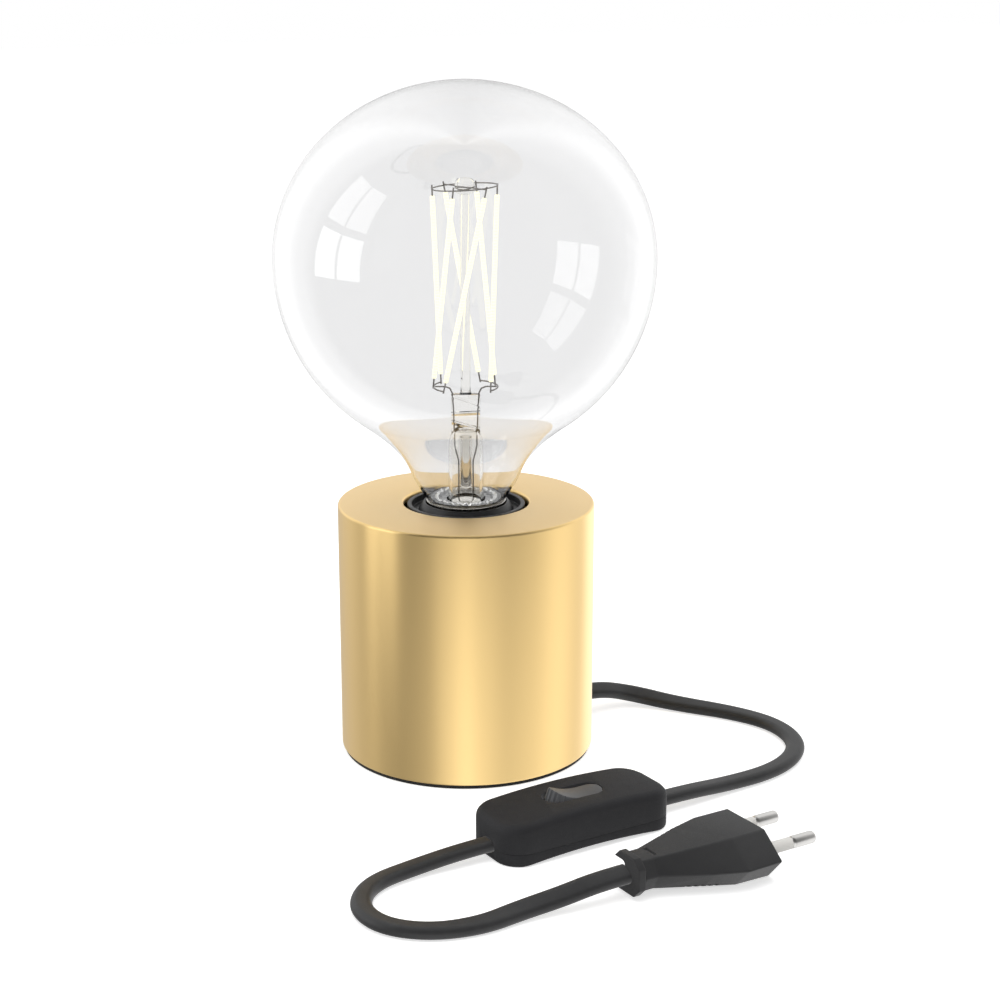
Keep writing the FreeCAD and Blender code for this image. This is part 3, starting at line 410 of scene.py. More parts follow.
drum_r, drum_top, drum_wall = 43.0, 86.2, 2.0
drum_inner_r = drum_r - drum_wall
under_top = drum_top - 2.5
top_hole_r = 21.0
foot_thick = 1.2
exit_z = 8.2
satin_brass = make_finish(
    "satin brass", (0.96, 0.69, 0.30), (0.98, 0.71, 0.32), (0.34, 0.38), patch=25, grain=900, depth=0.0006,
    metallic=1.0, stretch=(1, 1, 12), Anisotropic=0.85, Anisotropic_Rotation=0.25,
)
tree = satin_brass.node_tree
lathe_turn = add_node(tree, "ShaderNodeTangent", {"direction_type": "RADIAL", "axis": "Z"})
tree.links.new(lathe_turn.outputs[0], tree.nodes["Principled BSDF"].inputs["Tangent"])
drum = turn_rings(
    "drum",
    [
        (drum_r, foot_thick), (drum_r, drum_top), (top_hole_r, drum_top), (top_hole_r, under_top),
        (drum_inner_r, under_top), (drum_inner_r, foot_thick), (drum_r, foot_thick),
    ],
    sides=192,
)
ease_edges(drum, 0.9, steps=4)
cut_with(drum, make_bar("cord_hole", (36, 0, exit_z), (48, 0, exit_z), 4.05, sides=48))
settle(drum, satin_brass, "root", "satin_brass", "base_shell")
# The faces that look up get their own brass. It is isotropic and rougher, as a faced top is, and it is also
# painted paler and less yellow: painted light for the brighter top.
paler_painted_top_brass = make_finish(
    "satin brass top painted paler", (0.96, 0.72, 0.37), (0.98, 0.74, 0.39), (0.42, 0.46), patch=25, grain=900,
    depth=0.0006, metallic=1.0,
)
drum.data.materials.append(paler_painted_top_brass)
level = 0.97
for face in drum.data.polygons:
    face.material_index = int(face.normal.z > level)

# ---- Foot pad ----
# A disc of black foam glued under the lamp, a little smaller than the drum, so it shows as a thin
# dark line.
black_foam = make_finish(
    "black foam", (0.012, 0.012, 0.012), (0.03, 0.03, 0.03), (0.8, 1.0), patch=900, grain=1800, depth=0.15
)
foot_r = 42.2
foot = turn_rings("foot_disc", [(0, 0), (foot_r, 0), (foot_r, foot_thick), (0, foot_thick)], sides=128)
ease_edges(foot, 0.25, steps=2, angle=50)
settle(foot, black_foam, "root", "foam", "foot_pad")

# ---- Bottom plate, its screws and lugs ----
# A zinc-plated steel plate closes the drum from below.  Three countersunk screws hold it on angle
# lugs that are spot-welded to the drum's wall.  The foam hides all of it.


def dress(finish, *nodes):
    """Give CAD nodes that keep their own shape a finish."""
    for name in nodes:
        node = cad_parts[name]
        if not node.material_slots:
            node.data.materials.append(finish)
        for place in node.material_slots:
            place.material = finish


zinc_steel = make_finish(
    "zinc-plated steel", (0.45, 0.46, 0.48), (0.60, 0.60, 0.58), (0.25, 0.45), patch=140, grain=3500,
    depth=0.006, metallic=1.0,
)
dress(zinc_steel, "bottom_plate", "plate_screws", "mounting_lugs")

# ---- Ballast ----
# A cast-iron weight lies on the plate and keeps the lamp upright.  It has the rough skin of a sand
# casting under thin black paint.
cast_iron = make_finish(
    "cast iron", (0.035, 0.034, 0.033), (0.075, 0.07, 0.065), (0.5, 0.75), patch=260, grain=1100, depth=0.25,
    metallic=0.4,
)
dress(cast_iron, "ballast_weight")

# ---- Bracket and nipple ----
# A hat-shaped steel strip, riveted to the plate, carries the lamp holder on a threaded tube with a
# nut and a toothed washer under it.
bright_steel = make_finish(
    "bright zinc", (0.62, 0.62, 0.63), (0.52, 0.53, 0.56), (0.18, 0.32), patch=300, grain=5000, depth=0.003,
    metallic=1.0,
)
dress(zinc_steel, "holder_bracket", "bracket_rivets")
dress(bright_steel, "nipple", "nipple_nut", "lock_washer")

# ---- Lamp holder ----
# A black moulded holder for a screw cap, sunk in the drum's hole.  Its rim shows as a ring; inside it
# a web drops to the tube that takes the cap, which ends in a lip round the bulb's foot.
holder_black = make_finish(
    "holder moulding", (0.012, 0.012, 0.013), (0.02, 0.02, 0.021), (0.32, 0.5), patch=500, grain=2600,
    depth=0.02,
)
holder_rim, holder_r = 85.7, 19.75
sleeve = turn_rings(
    "holder_rim",
    [
        (16.05, 50.0), (17.65, 50.0), (17.65, 56.1), (holder_r, 56.1), (holder_r, holder_rim),
        (18.25, holder_rim), (18.25, 83.3), (16.0, 83.6), (14.3, 86.2), (13.5, 86.3), (13.4, 82.6),
        (13.4, 60.0), (15.2, 60.0), (15.2, 81.4), (17.25, 81.4), (17.25, 59.5), (15.15, 59.5), (15.15, 58.1),
        (16.05, 58.1), (16.05, 50.0),
    ],
    sides=128,
)
ease_edges(sleeve, 0.3, steps=3, angle=50)
settle(sleeve, holder_black, "root", "holder_plastic", "holder_sleeve")
ceramic = make_finish(
    "glazed ceramic", (0.80, 0.78, 0.72), (0.72, 0.69, 0.62), (0.15, 0.35), patch=220, grain=2000, depth=0.01
)
contact_brass = make_finish(
    "contact brass", (0.80, 0.58, 0.26), (0.70, 0.48, 0.22), (0.2, 0.38), patch=300, grain=4000, depth=0.004,
    metallic=1.0,
)
wire_coat = make_finish(
    "wire sleeve", (0.10, 0.16, 0.45), (0.14, 0.20, 0.5), (0.35, 0.5), patch=400, grain=3000
)
dress(holder_black, "holder_cap")
dress(zinc_steel, "holder_lock_screw")
dress(ceramic, "holder_insert")
dress(contact_brass, "centre_contact", "side_contact", "terminal_screws")
dress(wire_coat, "holder_conductors")

# ---- Cord bush and inner cord ----
# A black rubber bush lines the hole in the drum's wall, with a flange and a short tapering nose.
# The cord goes through it and up the threaded tube.
bush_rubber = make_finish(
    "bush rubber", (0.02, 0.02, 0.02), (0.03, 0.03, 0.03), (0.55, 0.75), patch=300, grain=3000, depth=0.03
)
bush = turn_rings(
    "cord_bush",
    [
        (2.55, 39.1), (4.85, 39.1), (4.85, 40.6), (4.0, 40.6), (4.0, 43.05), (5.4, 43.05), (5.4, 44.65),
        (4.4, 44.65), (3.5, 47.5), (2.55, 47.5), (2.55, 39.1),
    ],
    sides=64,
)
ease_edges(bush, 0.35, steps=3, angle=25)
bush.rotation_euler = (0, math.radians(90), 0)
bush.location = (0, 0, exit_z * mm)
settle(bush, bush_rubber, "root", "black_rubber", "cord_grommet")
cord_vinyl = make_finish(
    "cord vinyl", (0.022, 0.022, 0.023), (0.032, 0.032, 0.033), (0.42, 0.6), patch=350, grain=5200, depth=0.02
)
dress(cord_vinyl, "inner_cord")

# ---- Glass globe ----
# A blown envelope of clear glass, about 0.8 mm thick: a globe a little flattened below, drawn down to
# a waisted neck and a tail that is cemented in the cap.
seat_z = 87.0
globe_centre = seat_z + 80.5
globe_r, globe_up, globe_down = 62.5, 57.6, 64.0
clear_glass = bpy.data.materials.new("clear glass")
clear_glass.use_nodes = True
tree = clear_glass.node_tree
melt = tree.nodes["Principled BSDF"]
set_sockets(melt, Base_Color=(0.93, 0.93, 0.932, 1), Transmission_Weight=1.0, IOR=1.5, Roughness=0.0)
place = tree.nodes.new("ShaderNodeTexCoord")
waves = add_node(tree, "ShaderNodeTexNoise", Scale=28.0, Detail=1.0)
ripple = add_node(tree, "ShaderNodeBump", Strength=0.25, Distance=0.0002)
tree.links.new(place.outputs["Object"], waves.inputs["Vector"])
tree.links.new(waves.outputs["Fac"], ripple.inputs["Height"])
tree.links.new(ripple.outputs["Normal"], melt.inputs["Normal"])


def bend_between(start, start_pull, end_pull, end, steps):
    """Stops along a curve between two (radius, height) places with a pull point for each."""
    stops = []
    for step in range(1, steps + 1):
        t = step / steps
        weights = ((1 - t) ** 3, 3 * t * (1 - t) ** 2, 3 * t * t * (1 - t), t**3)
        places = (start, start_pull, end_pull, end)
        stops.append(tuple(sum(w * p[i] for w, p in zip(weights, places)) for i in (0, 1)))
    return stops


join_drop = 52.5
join_angle = math.acos(join_drop / globe_down)
join = (globe_r * math.sin(join_angle), globe_centre - join_drop)
slope = Vector((-globe_r * math.cos(join_angle), -globe_down * math.sin(join_angle))).normalized()
waist = (18.2, seat_z + 9)
lean = Vector((0.35, 1)).normalized()
lip = Vector((0.55, 1))
neck_foot_r, tail_r = 13.0, 11.3
neck = bend_between(
    join, (join[0] + slope.x * 9.5, join[1] + slope.y * 9.5),
    (waist[0] + lean.x * 8.5, waist[1] + lean.y * 8.5), waist, 22,
)
neck += bend_between(
    waist, (waist[0] - lean.x * 3, waist[1] - lean.y * 3),
    (neck_foot_r + lip.x * 2.8, seat_z + lip.y * 2.8), (neck_foot_r, seat_z), 14,
)
neck += [(tail_r, seat_z - 0.3), (tail_r, seat_z - 11.0)]
bpy.ops.object.select_all(action="DESELECT")
bpy.ops.mesh.primitive_uv_sphere_add(segments=160, ring_count=96, radius=globe_r * mm, location=(0, 0, 0))
globe = bpy.context.object
globe.name = "globe"
bpy.ops.object.mode_set(mode="EDIT")
for side, reach in ((1, globe_up), (-1, globe_down)):
    select_where(globe, lambda place: place.z * side > 0)
    bpy.ops.transform.resize(value=(1, 1, reach / globe_r), center_override=(0, 0, 0))
bpy.ops.mesh.select_all(action="SELECT")
bpy.ops.transform.translate(value=(0, 0, globe_centre * mm))
bpy.ops.mesh.select_all(action="SELECT")
bpy.ops.mesh.bisect(plane_co=(0, 0, join[1] * mm), plane_no=(0, 0, 1), clear_inner=True)
select_where(globe, lambda place: place.z < (join[1] + 0.01) * mm)
draw_on(*join, neck)
close_up(globe)
thicken(globe, 0.8)
settle(globe, clear_glass, "bulb", "clear_glass", "glass_bulb", smooth=60)

# ---- Glass stem ----
# A flared glass tube sealed inside the neck.  Above it is closed by a flattened pinch round the two
# lead wires, with the slanted marks of the tongs.
stem_glass = clear_glass.copy()
stem_glass.name = "stem glass"
set_sockets(stem_glass.node_tree.nodes["Principled BSDF"], Base_Color=(0.99, 0.98, 0.955, 1))
stem = turn_rings(
    "glass_stem",
    [
        (11.0, 77.5), (8.2, 79.6), (6.9, 83.0), (6.1, 87.0), (5.75, 90.5), (5.75, 105.5), (5.5, 107.3),
        (4.9, 109.0), (4.3, 110.6), (3.2, 111.4), (0, 111.6),
    ],
    sides=64,
)
thicken(stem, 1.0)
bulb_turn = math.radians(-31)
pinch = make_block("pinch", (0, 0, 116.3), (9.6, 3.4, 13.0))
for groove_z, lean, squeeze in ((0.1121, 0.26, 0.5), (0.1163, -0.05, 0.42), (0.1203, 0.35, 0.7)):
    for step in (-0.0006, 0, 0.0006):
        bpy.ops.mesh.select_all(action="SELECT")
        bpy.ops.mesh.bisect(plane_co=(0, 0, groove_z + step), plane_no=(lean, 0, 1))
    select_where(pinch, lambda place: abs(place.z + lean * place.x - groove_z) < 0.0001)
    bpy.ops.transform.resize(value=(0.93, squeeze, 1), center_override=(0, 0, groove_z))
close_up(pinch)
ease_edges(pinch, 0.7, steps=4, angle=40)
pinch.rotation_euler = (0, 0, bulb_turn)
cut_with(stem, pinch, "UNION")
settle(stem, stem_glass, "bulb", "clear_glass", "stem", smooth=50)

# ---- Neck shield and tube plug ----
# A crimped tin disc lies round the stem in the foot of the neck, with a ring painted near-white as a
# painted highlight, and a small disc of the same metal, in the same painted highlight, closes the stem below.
# Both are pressed in.


def move_where(piece, test, offset):
    """In edit mode, move the corners that pass a test by an offset in millimetres."""
    select_where(piece, test)
    bpy.ops.transform.translate(value=Vector(offset) * mm)


tin_thick = 0.2
crimp = (
    (6.5, 87.4), (7.6, 87.55), (8.6, 87.5), (9.3, 88.0), (9.9, 87.5), (10.5, 88.0), (11.3, 87.7),
    (11.9, 88.0),
)
below = [(radius, height - tin_thick) for radius, height in reversed(crimp)]
shield = turn_rings("neck_shield", [*crimp, *below, crimp[0]], sides=120)
bpy.ops.object.mode_set(mode="EDIT")
for folds, shift, lift in ((23, 0.0, 0.35), (37, 1.0, -0.3), (51, 0.4, 0.22)):
    move_where(
        shield,
        lambda place: 9.0 * mm < math.hypot(place.x, place.y) < 10.8 * mm
        and math.sin(folds * math.atan2(place.y, place.x) + shift) > 0.2,
        (0, 0, lift),
    )
bpy.ops.object.mode_set(mode="OBJECT")
crumple = shield.modifiers.new("crumple", "DISPLACE")
crumple.texture = bpy.data.textures.new("crumple", "CLOUDS")
crumple.texture.noise_scale = 0.0016
crumple.texture_coords = "LOCAL"
crumple.strength = 0.5 * mm
apply_all(shield)
shield_tin = make_finish(
    "shield tin", (0.22, 0.225, 0.23), (0.5, 0.5, 0.49), (0.12, 0.25), patch=900, grain=2500, depth=0.04,
    metallic=1.0,
)
settle(shield, shield_tin, "bulb", "nickel", smooth=25)
shield_painted_glint = make_finish(
    "shield painted glint", (0.80, 0.80, 0.79), (0.92, 0.92, 0.90), (0.1, 0.2), patch=900, grain=2500, depth=0.02,
    metallic=1.0,
)
# The ring of faces between 9.3 and 10.6 mm out gets the near-white metal, a painted highlight.
shield.data.materials.append(shield_painted_glint)
for face in shield.data.polygons:
    face.material_index = int(9.3 * mm < math.hypot(face.center.x, face.center.y) < 10.6 * mm)
# The tube plug takes the same near-white metal, a painted highlight at the stem's foot.
plug_disc = turn_rings(
    "tube_plug", [(0, 86.6), (4.7, 86.6), (4.9, 86.9), (4.6, 87.15), (2.0, 87.25), (0, 87.2)], sides=48
)
settle(plug_disc, shield_painted_glint, "bulb", "nickel", smooth=60)

# ---- Exhaust tube, rod and bead ----
# The sealed stub of the exhaust tube hangs in the stem.  A glass rod stands on the pinch and carries
# a round bead at its top, melted on.
exhaust = turn_rings(
    "exhaust_stub",
    [
        (0, 90.2), (1.0, 90.45), (1.7, 91.2), (2.0, 92.2), (2.0, 108.0), (1.3, 108.0), (1.3, 92.3),
        (0.8, 91.6), (0, 91.3),
    ],
    sides=40,
)
settle(exhaust, stem_glass, "bulb", "clear_glass", "exhaust_tube", smooth=50)
rod_top = 188.7
rod_rings = [(0, 122.8), (2.1, 122.8), (1.7, 123.8), (1.6, 125.5), (1.6, rod_top), (0, rod_top)]
rod = turn_rings("glass_rod", rod_rings, sides=40)
settle(rod, stem_glass, "bulb", "clear_glass", "support_rod", smooth=50)
bead = turn_rings(
    "glass_bead",
    [(0, rod_top), (2.4, 188.75), (3.05, 189.5), (3.4, 191.3), (3.1, 193.0), (2.3, 193.9), (0, 194.0)],
    sides=48,
)
bead_form = bead.modifiers.new("melted form", "SUBSURF")
bead_form.levels = 2
apply_all(bead)
settle(bead, stem_glass, "bulb", "clear_glass", "top_bead", smooth=60)

# ---- Wires of the filament cage ----
# Two nickel lead wires rise through the pinch to a pair of curved arms.  Above, a ring of the same
# wire, a little askew, hangs from the bead; short posts on arms and ring hold the filaments.
nickel_wire = make_finish(
    "nickel wire", (0.16, 0.15, 0.14), (0.28, 0.26, 0.24), (0.25, 0.45), patch=500, grain=6000, depth=0.003,
    metallic=1.0,
)
cage_r = 10.7
arm_h, ring_h = 38.3, 104.0
arm_z = seat_z + arm_h
ring_z = seat_z + ring_h
wire_r, post_r = 0.25, 0.27


def cage_point(angle, z):
    """Place on the cage at a turn of the bulb, in millimetres; angles run clockwise from above."""
    turn = bulb_turn - math.radians(angle)
    return (cage_r * math.cos(turn), cage_r * math.sin(turn), z)


def draw_path(name, places, order):
    """Curve through places in millimetres, made of at least five points."""
    bpy.ops.object.select_all(action="DESELECT")
    bpy.ops.curve.primitive_nurbs_path_add(location=(0, 0, 0))
    path = bpy.context.object
    path.name = name
    spline = path.data.splines[0]
    spare = len(spline.points) - len(places)
    if spare < 0:
        spline.points.add(-spare)
    for point, spot in zip(spline.points, [places[0]] * spare + list(places)):
        point.co = (spot[0] * mm, spot[1] * mm, spot[2] * mm, 1)
    spline.order_u = order
    spline.use_endpoint_u = True
    path.data.use_fill_caps = True
    return path


def draw_wire(name, places, radius):
    """Round wire through places in millimetres."""
    path = draw_path(name, places, 2)
    path.data.bevel_depth = radius * mm
    path.data.bevel_resolution = 3
    bpy.ops.object.convert(target="MESH")
    wire = bpy.context.object
    bpy.ops.object.mode_set(mode="EDIT")
    close_up(wire)
    return wire


def join_pieces(name, pieces):
    """One object of several, each of them kept as its own closed form."""
    bpy.ops.object.select_all(action="DESELECT")
    for piece in pieces:
        piece.select_set(True)
    bpy.context.view_layer.objects.active = pieces[0]
    bpy.ops.object.join()
    pieces[0].name = name
    return pieces[0]


left_posts = {132: 50, 180: 110, 220: 170}
right_posts = {-63: -130, -23: -70, 40: -10}


def on_filament(low_angle, top_angle, h):
    """Place on a filament's axis at a height above the seat."""
    low = Vector(cage_point(low_angle, arm_z))
    top = Vector(cage_point(top_angle, ring_z))
    return tuple(low + (top - low) * (h - arm_h) / (ring_h - arm_h))


leads = []
across = (
    (2.4, 80.0), (2.4, 101.0), (3.7, 106.0), (4.0, 118.0), (4.4, 123.0), (5.2, 124.7), (6.8, arm_z),
    (10.3, arm_z),
)
for side in (-1, 1):
    places = [(side * x * math.cos(bulb_turn), side * x * math.sin(bulb_turn), z) for x, z in across]
    leads.append(draw_wire("lead", places, wire_r))
leads = join_pieces("leads", leads)
settle(leads, nickel_wire, "bulb", "nickel_wire", "lead_wires", smooth=60)

arms = []
for posts in (left_posts, right_posts):
    first, last = min(posts), max(posts)
    arc = [cage_point(first + (last - first) * step / 16, arm_z) for step in range(17)]
    arms.append(draw_wire("arm", arc, wire_r))
    for low_angle, top_angle in posts.items():
        ends = [on_filament(low_angle, top_angle, h) for h in (37.7, 41.6)]
        arms.append(draw_wire("post", ends, post_r))
arms = join_pieces("arm_wires", arms)
settle(arms, nickel_wire, "bulb", "nickel_wire", "lower_arms", smooth=60)

ring_axis = Vector((-0.0503, 0.0314, 1))
bpy.ops.object.select_all(action="DESELECT")
bpy.ops.mesh.primitive_torus_add(
    major_segments=96, minor_segments=12, major_radius=cage_r * mm, minor_radius=0.22 * mm,
    location=(0, 0, ring_z * mm), rotation=ring_axis.to_track_quat("Z", "Y").to_euler(),
)
crown = [bpy.context.object]
crown.append(draw_wire("spoke", [cage_point(50, ring_z), cage_point(230, ring_z)], 0.2))
for low_angle, top_angle in (left_posts | right_posts).items():
    ends = [on_filament(low_angle, top_angle, h) for h in (101.0, 104.9)]
    crown.append(draw_wire("post", ends, post_r))
crown = join_pieces("ring_wire", crown)
settle(crown, nickel_wire, "bulb", "nickel_wire", "top_ring", smooth=60)

# ---- Filaments ----
# Six straight rods of light-emitting chips under a warm white silicone coat.  Their glow is a little
# yellower between the chips.
glowing_coat = make_finish(
    "glowing coat", (0.45, 0.40, 0.26), (0.45, 0.37, 0.20), (0.35, 0.5), patch=900, grain=1500, depth=0.02
)
tree = glowing_coat.node_tree
coat = tree.nodes["Principled BSDF"]
place = tree.nodes.new("ShaderNodeTexCoord")
chips = add_node(tree, "ShaderNodeTexWave", {"bands_direction": "Z"}, Scale=320.0, Distortion=0.0)
chip_glow = mix_colours(tree, chips.outputs["Fac"], (1.0, 0.99, 0.72), (1.0, 1.0, 0.86))
tree.links.new(place.outputs["Object"], chips.inputs["Vector"])
tree.links.new(chip_glow, coat.inputs["Emission Color"])
coat.inputs["Emission Strength"].default_value = 1.05
rods = []
for low_angle, top_angle in (left_posts | right_posts).items():
    low, top = (on_filament(low_angle, top_angle, h) for h in (41.2, 101.4))
    filament = make_bar("filament", low, top, 0.8, sides=24)
    ease_edges(filament, 0.45, steps=3, angle=40)
    rods.append(filament)
filaments = join_pieces("filaments", rods)
settle(filaments, glowing_coat, "bulb", "phosphor", "led_filaments", smooth=50)

# ---- Bulb cap ----
# A nickel-plated brass shell with a rolled thread, cemented to the neck.  Below it a black glass
# insulator carries the contact tip; a small driver board stands inside.
nickel = make_finish(
    "nickel plate", (0.58, 0.56, 0.52), (0.68, 0.66, 0.62), (0.16, 0.3), patch=160, grain=3000, depth=0.004,
    metallic=1.0,
)
cap_low = 65.0
thread_pitch = 3.3
cap_rings = [(11.5, cap_low), (12.1, cap_low), (12.35, cap_low + 1.2)]
for crest in range(5):
    base = cap_low + 2.0 + thread_pitch * crest
    cap_rings += [
        (12.3, base), (12.55, base + 0.65), (13.05, base + 1.3), (13.1, base + 1.65), (13.05, base + 2.0),
        (12.55, base + 2.65),
    ]
cap_rings += [
    (12.3, 83.6), (12.9, 84.3), (13.1, 84.8), (13.1, 86.3), (13.3, 86.55), (13.3, 86.85), (13.1, 87.0),
    (12.5, 87.0), (12.5, 84.4), (11.9, 83.8), (11.9, cap_low + 1.8), (11.5, cap_low + 1.0), (11.5, cap_low),
]
cap = turn_rings("cap", cap_rings, sides=96)
settle(cap, nickel, "bulb", "nickel", "cap_shell", smooth=50)
cement = make_finish(
    "cap cement", (0.62, 0.55, 0.42), (0.52, 0.45, 0.33), (0.7, 0.9), patch=600, grain=2500, depth=0.08
)
black_glass = make_finish(
    "black glass", (0.01, 0.01, 0.012), (0.02, 0.018, 0.02), (0.05, 0.2), patch=300, grain=2000, depth=0.01
)
board_green = make_finish(
    "board", (0.02, 0.16, 0.06), (0.03, 0.24, 0.09), (0.25, 0.45), patch=700, grain=4000, depth=0.01
)
chip_black = make_finish(
    "chip resin", (0.015, 0.015, 0.016), (0.04, 0.04, 0.04), (0.4, 0.6), patch=900, grain=5000, depth=0.01
)
tip_metal = make_finish(
    "tip solder", (0.55, 0.55, 0.56), (0.42, 0.42, 0.43), (0.2, 0.5), patch=400, grain=2500, depth=0.03,
    metallic=1.0,
)
dress(cement, "cap_cement")
dress(black_glass, "cap_insulator")
dress(tip_metal, "contact_tip")
dress(board_green, "driver_board")
dress(chip_black, "driver_parts")

# ---- Cord from the drum to the switch ----
# A flat two-core cord in matt black vinyl, 6.4 mm wide and 3.9 mm thick.  It leaves the drum level,
# drops to the table and swings round to the switch.
cord_wide, cord_thick = 6.4, 3.9
entry_z = 4.2


def lay_cord(name, route, rolls):
    """Flat cord on one smooth line through its route, rolled by some degrees at each point."""
    cord = draw_path(name, route, 3)
    spline = cord.data.splines[0]
    for point, roll in zip(spline.points, rolls):
        point.tilt = math.radians(roll + 90)
    spline.resolution_u = 10
    cord.data.twist_mode = "Z_UP"
    cord.data.extrude = (cord_wide - cord_thick) / 2 * mm
    cord.data.bevel_depth = cord_thick / 2 * mm
    cord.data.bevel_resolution = 6
    cord.data.materials.append(cord_vinyl)
    return cord


route_to_switch = [
    (47.5, 0.0, exit_z), (55.5, 0.0, exit_z), (69.5, -1.0, 3.9), (78.6, -13.9, 2.4), (91.6, -32.4, 2.1),
    (96.9, -49.0, 2.1), (92.9, -65.3, 2.1), (82.0, -75.9, 2.1), (67.3, -81.3, 2.1), (48.5, -82.0, 2.4),
    (32.0, -83.6, entry_z), (18.3, -83.6, entry_z),
]
first_cord = lay_cord("first_cord", route_to_switch, (30, 32, 36, 20, 6, 0, 0, 0, 0, 0, 0, 0))

# ---- Switch housing ----
# Two half shells moulded in black plastic with a fine matt skin.  The upper one is crowned along its
# length and holds the rocker; the lower one is a little arched, so the switch stands on its ends.
switch_x, switch_y = -12.4, -83.6
switch_l, switch_w = 61.4, 25.5
switch_corner, switch_wall = 8.0, 1.8
parting, shoulder, crown_rise, foot_arch = 4.1, 12.5, 1.7, 1.3
switch_black = make_finish(
    "switch moulding", (0.021, 0.021, 0.023), (0.028, 0.028, 0.030), (0.62, 0.76), patch=300, grain=3200,
    depth=0.03, Specular_IOR_Level=0.3,
)


def rounded_block(name, low, high, length, width, corner, steps=8):
    """Block with rounded upright corners, about the middle, in millimetres, left in edit mode."""
    piece = make_block(name, (0, 0, (low + high) / 2), (length, width, high - low))
    select_where(piece, lambda a, b: abs(a.z - b.z) > 1e-5, "EDGE")
    bpy.ops.mesh.bevel(offset=corner * mm, segments=steps, affect="EDGES")
    return piece


def arch(piece, test, rise):
    """In edit mode, lift the corners that pass a test by a height that depends on their x."""
    bpy.ops.object.mode_set(mode="OBJECT")
    columns = sorted({round(corner.co.x, 6) for corner in piece.data.vertices if test(corner.co)})
    bpy.ops.object.mode_set(mode="EDIT")
    for x in columns:
        move_where(piece, lambda place: test(place) and abs(place.x - x) < 2e-6, (0, 0, rise(x / mm)))


def half_shell(name, low, high, rim, arched, rise, opened):
    """Half of the housing: a block eased at its rim, arched, opened at the parting and thickened."""
    piece = rounded_block(name, low, high, switch_l, switch_w, switch_corner)
    height, width, steps = rim
    select_where(piece, lambda *ends: all(abs(end.z - height * mm) < 1e-5 for end in ends), "EDGE")
    bpy.ops.mesh.bevel(offset=width * mm, segments=steps, affect="EDGES")
    slices = 14
    for step in range(1, slices):
        x = switch_l / 2 * (2 * step / slices - 1)
        bpy.ops.mesh.select_all(action="SELECT")
        bpy.ops.mesh.bisect(plane_co=(x * mm, 0, 0), plane_no=(1, 0, 0))
    arch(piece, arched, rise)
    select_where(piece, opened, "FACE")
    bpy.ops.mesh.delete(type="FACE")
    close_up(piece)
    thicken(piece, switch_wall)
    return piece


def finish_shell(piece, node):
    """Cut the oval cord holes in both ends of a half, ease its edges and set it in place."""
    for start, end in ((-33.0, -27.0), (27.0, 33.0)):
        hole = make_bar("hole", (start, 0, entry_z), (end, 0, entry_z), 2.35, sides=40)
        hole.scale = (1, 1.52, 1)
        bpy.ops.object.transform_apply(location=False, rotation=True, scale=True)
        cut_with(piece, hole)
    ease_edges(piece, 0.22, steps=2, angle=55)
    piece.location = (switch_x * mm, switch_y * mm, 0)
    settle(piece, switch_black, "root", "black_plastic", node, smooth=35)


upper = half_shell(
    "switch_top", parting + 0.05, shoulder, (shoulder, 2.6, 5), lambda place: place.z > 8 * mm,
    lambda x: crown_rise * (1 - (2 * x / switch_l) ** 2), lambda middle: middle.z < (parting + 0.1) * mm,
)
slot = rounded_block("slot", 10.0, 20.0, 21.0, 9.2, 4.59)
close_up(slot)
cut_with(upper, slot)
finish_shell(upper, "switch_upper_shell")
lower = half_shell(
    "switch_base", 0.0, parting - 0.05, (0.0, 0.8, 3), lambda place: place.z < 1.0 * mm,
    lambda x: foot_arch * max(0, 1 - (x / 25.7) ** 2), lambda middle: middle.z > (parting - 0.1) * mm,
)
finish_shell(lower, "switch_lower_shell")

# ---- Rocker ----
# A glossier black rocker with a shallow V on top, rounded at both ends; its black is painted up to a dark
# grey, a painted sheen.  It turns on a steel pin; its raised end has upright grooves for the finger.
# Its colour is painted up from black to dark grey: a painted sheen on top of its real gloss.
rocker_gloss_and_painted_sheen = make_finish(
    "rocker moulding with painted sheen", (0.085, 0.087, 0.092), (0.10, 0.102, 0.107), (0.42, 0.52), patch=300, grain=3500,
    depth=0.01, Specular_IOR_Level=0.25,
)
pivot = 9.0
rocker = make_block("rocker_key", (0, 0, 2.125), (20.2, 8.6, 9.05))
bpy.ops.mesh.select_all(action="SELECT")
bpy.ops.mesh.bisect(plane_co=(0, 0, 3.0 * mm), plane_no=(0, 0, 1))
for low, high, inward in ((4, 9, 0.93), (2.99, 3.01, 0.15), (-9, 0, 2.9)):
    for side in (-1, 1):
        move_where(
            rocker, lambda place: low * mm < place.z < high * mm and place.x * side > 0,
            (-side * inward, 0, 0),
        )
select_where(rocker, lambda a, b: abs(a.z - b.z) > 3 * mm, "EDGE")
bpy.ops.mesh.bevel(offset=4.0 * mm, segments=9, affect="EDGES")
for step in range(-4, 5):
    bpy.ops.mesh.select_all(action="SELECT")
    bpy.ops.mesh.bisect(plane_co=(1.2 * step * mm, 0, 0), plane_no=(1, 0, 0))
arch(rocker, lambda place: place.z > 4 * mm, lambda x: -1.9 * (1 - (x / 9.2) ** 2))
close_up(rocker)
ease_edges(rocker, 0.35, steps=3, angle=50)
grooves = []
for turn in range(-84, 85, 24):
    ahead, aside = math.cos(math.radians(turn)), 4.4 * math.sin(math.radians(turn))
    start, end = (-6.1 - 4.1 * ahead, aside, 2.0), (-6.1 - 3.1 * ahead, aside, 6.9)
    grooves.append(make_bar("groove", start, end, 0.55, sides=16))
cut_with(rocker, join_pieces("grooves", grooves))
rocker.rotation_euler = (0, math.radians(9), 0)
rocker.location = (switch_x * mm, switch_y * mm, pivot * mm)
settle(rocker, rocker_gloss_and_painted_sheen, "switch_rocker", "gloss_black", "rocker", smooth=35)
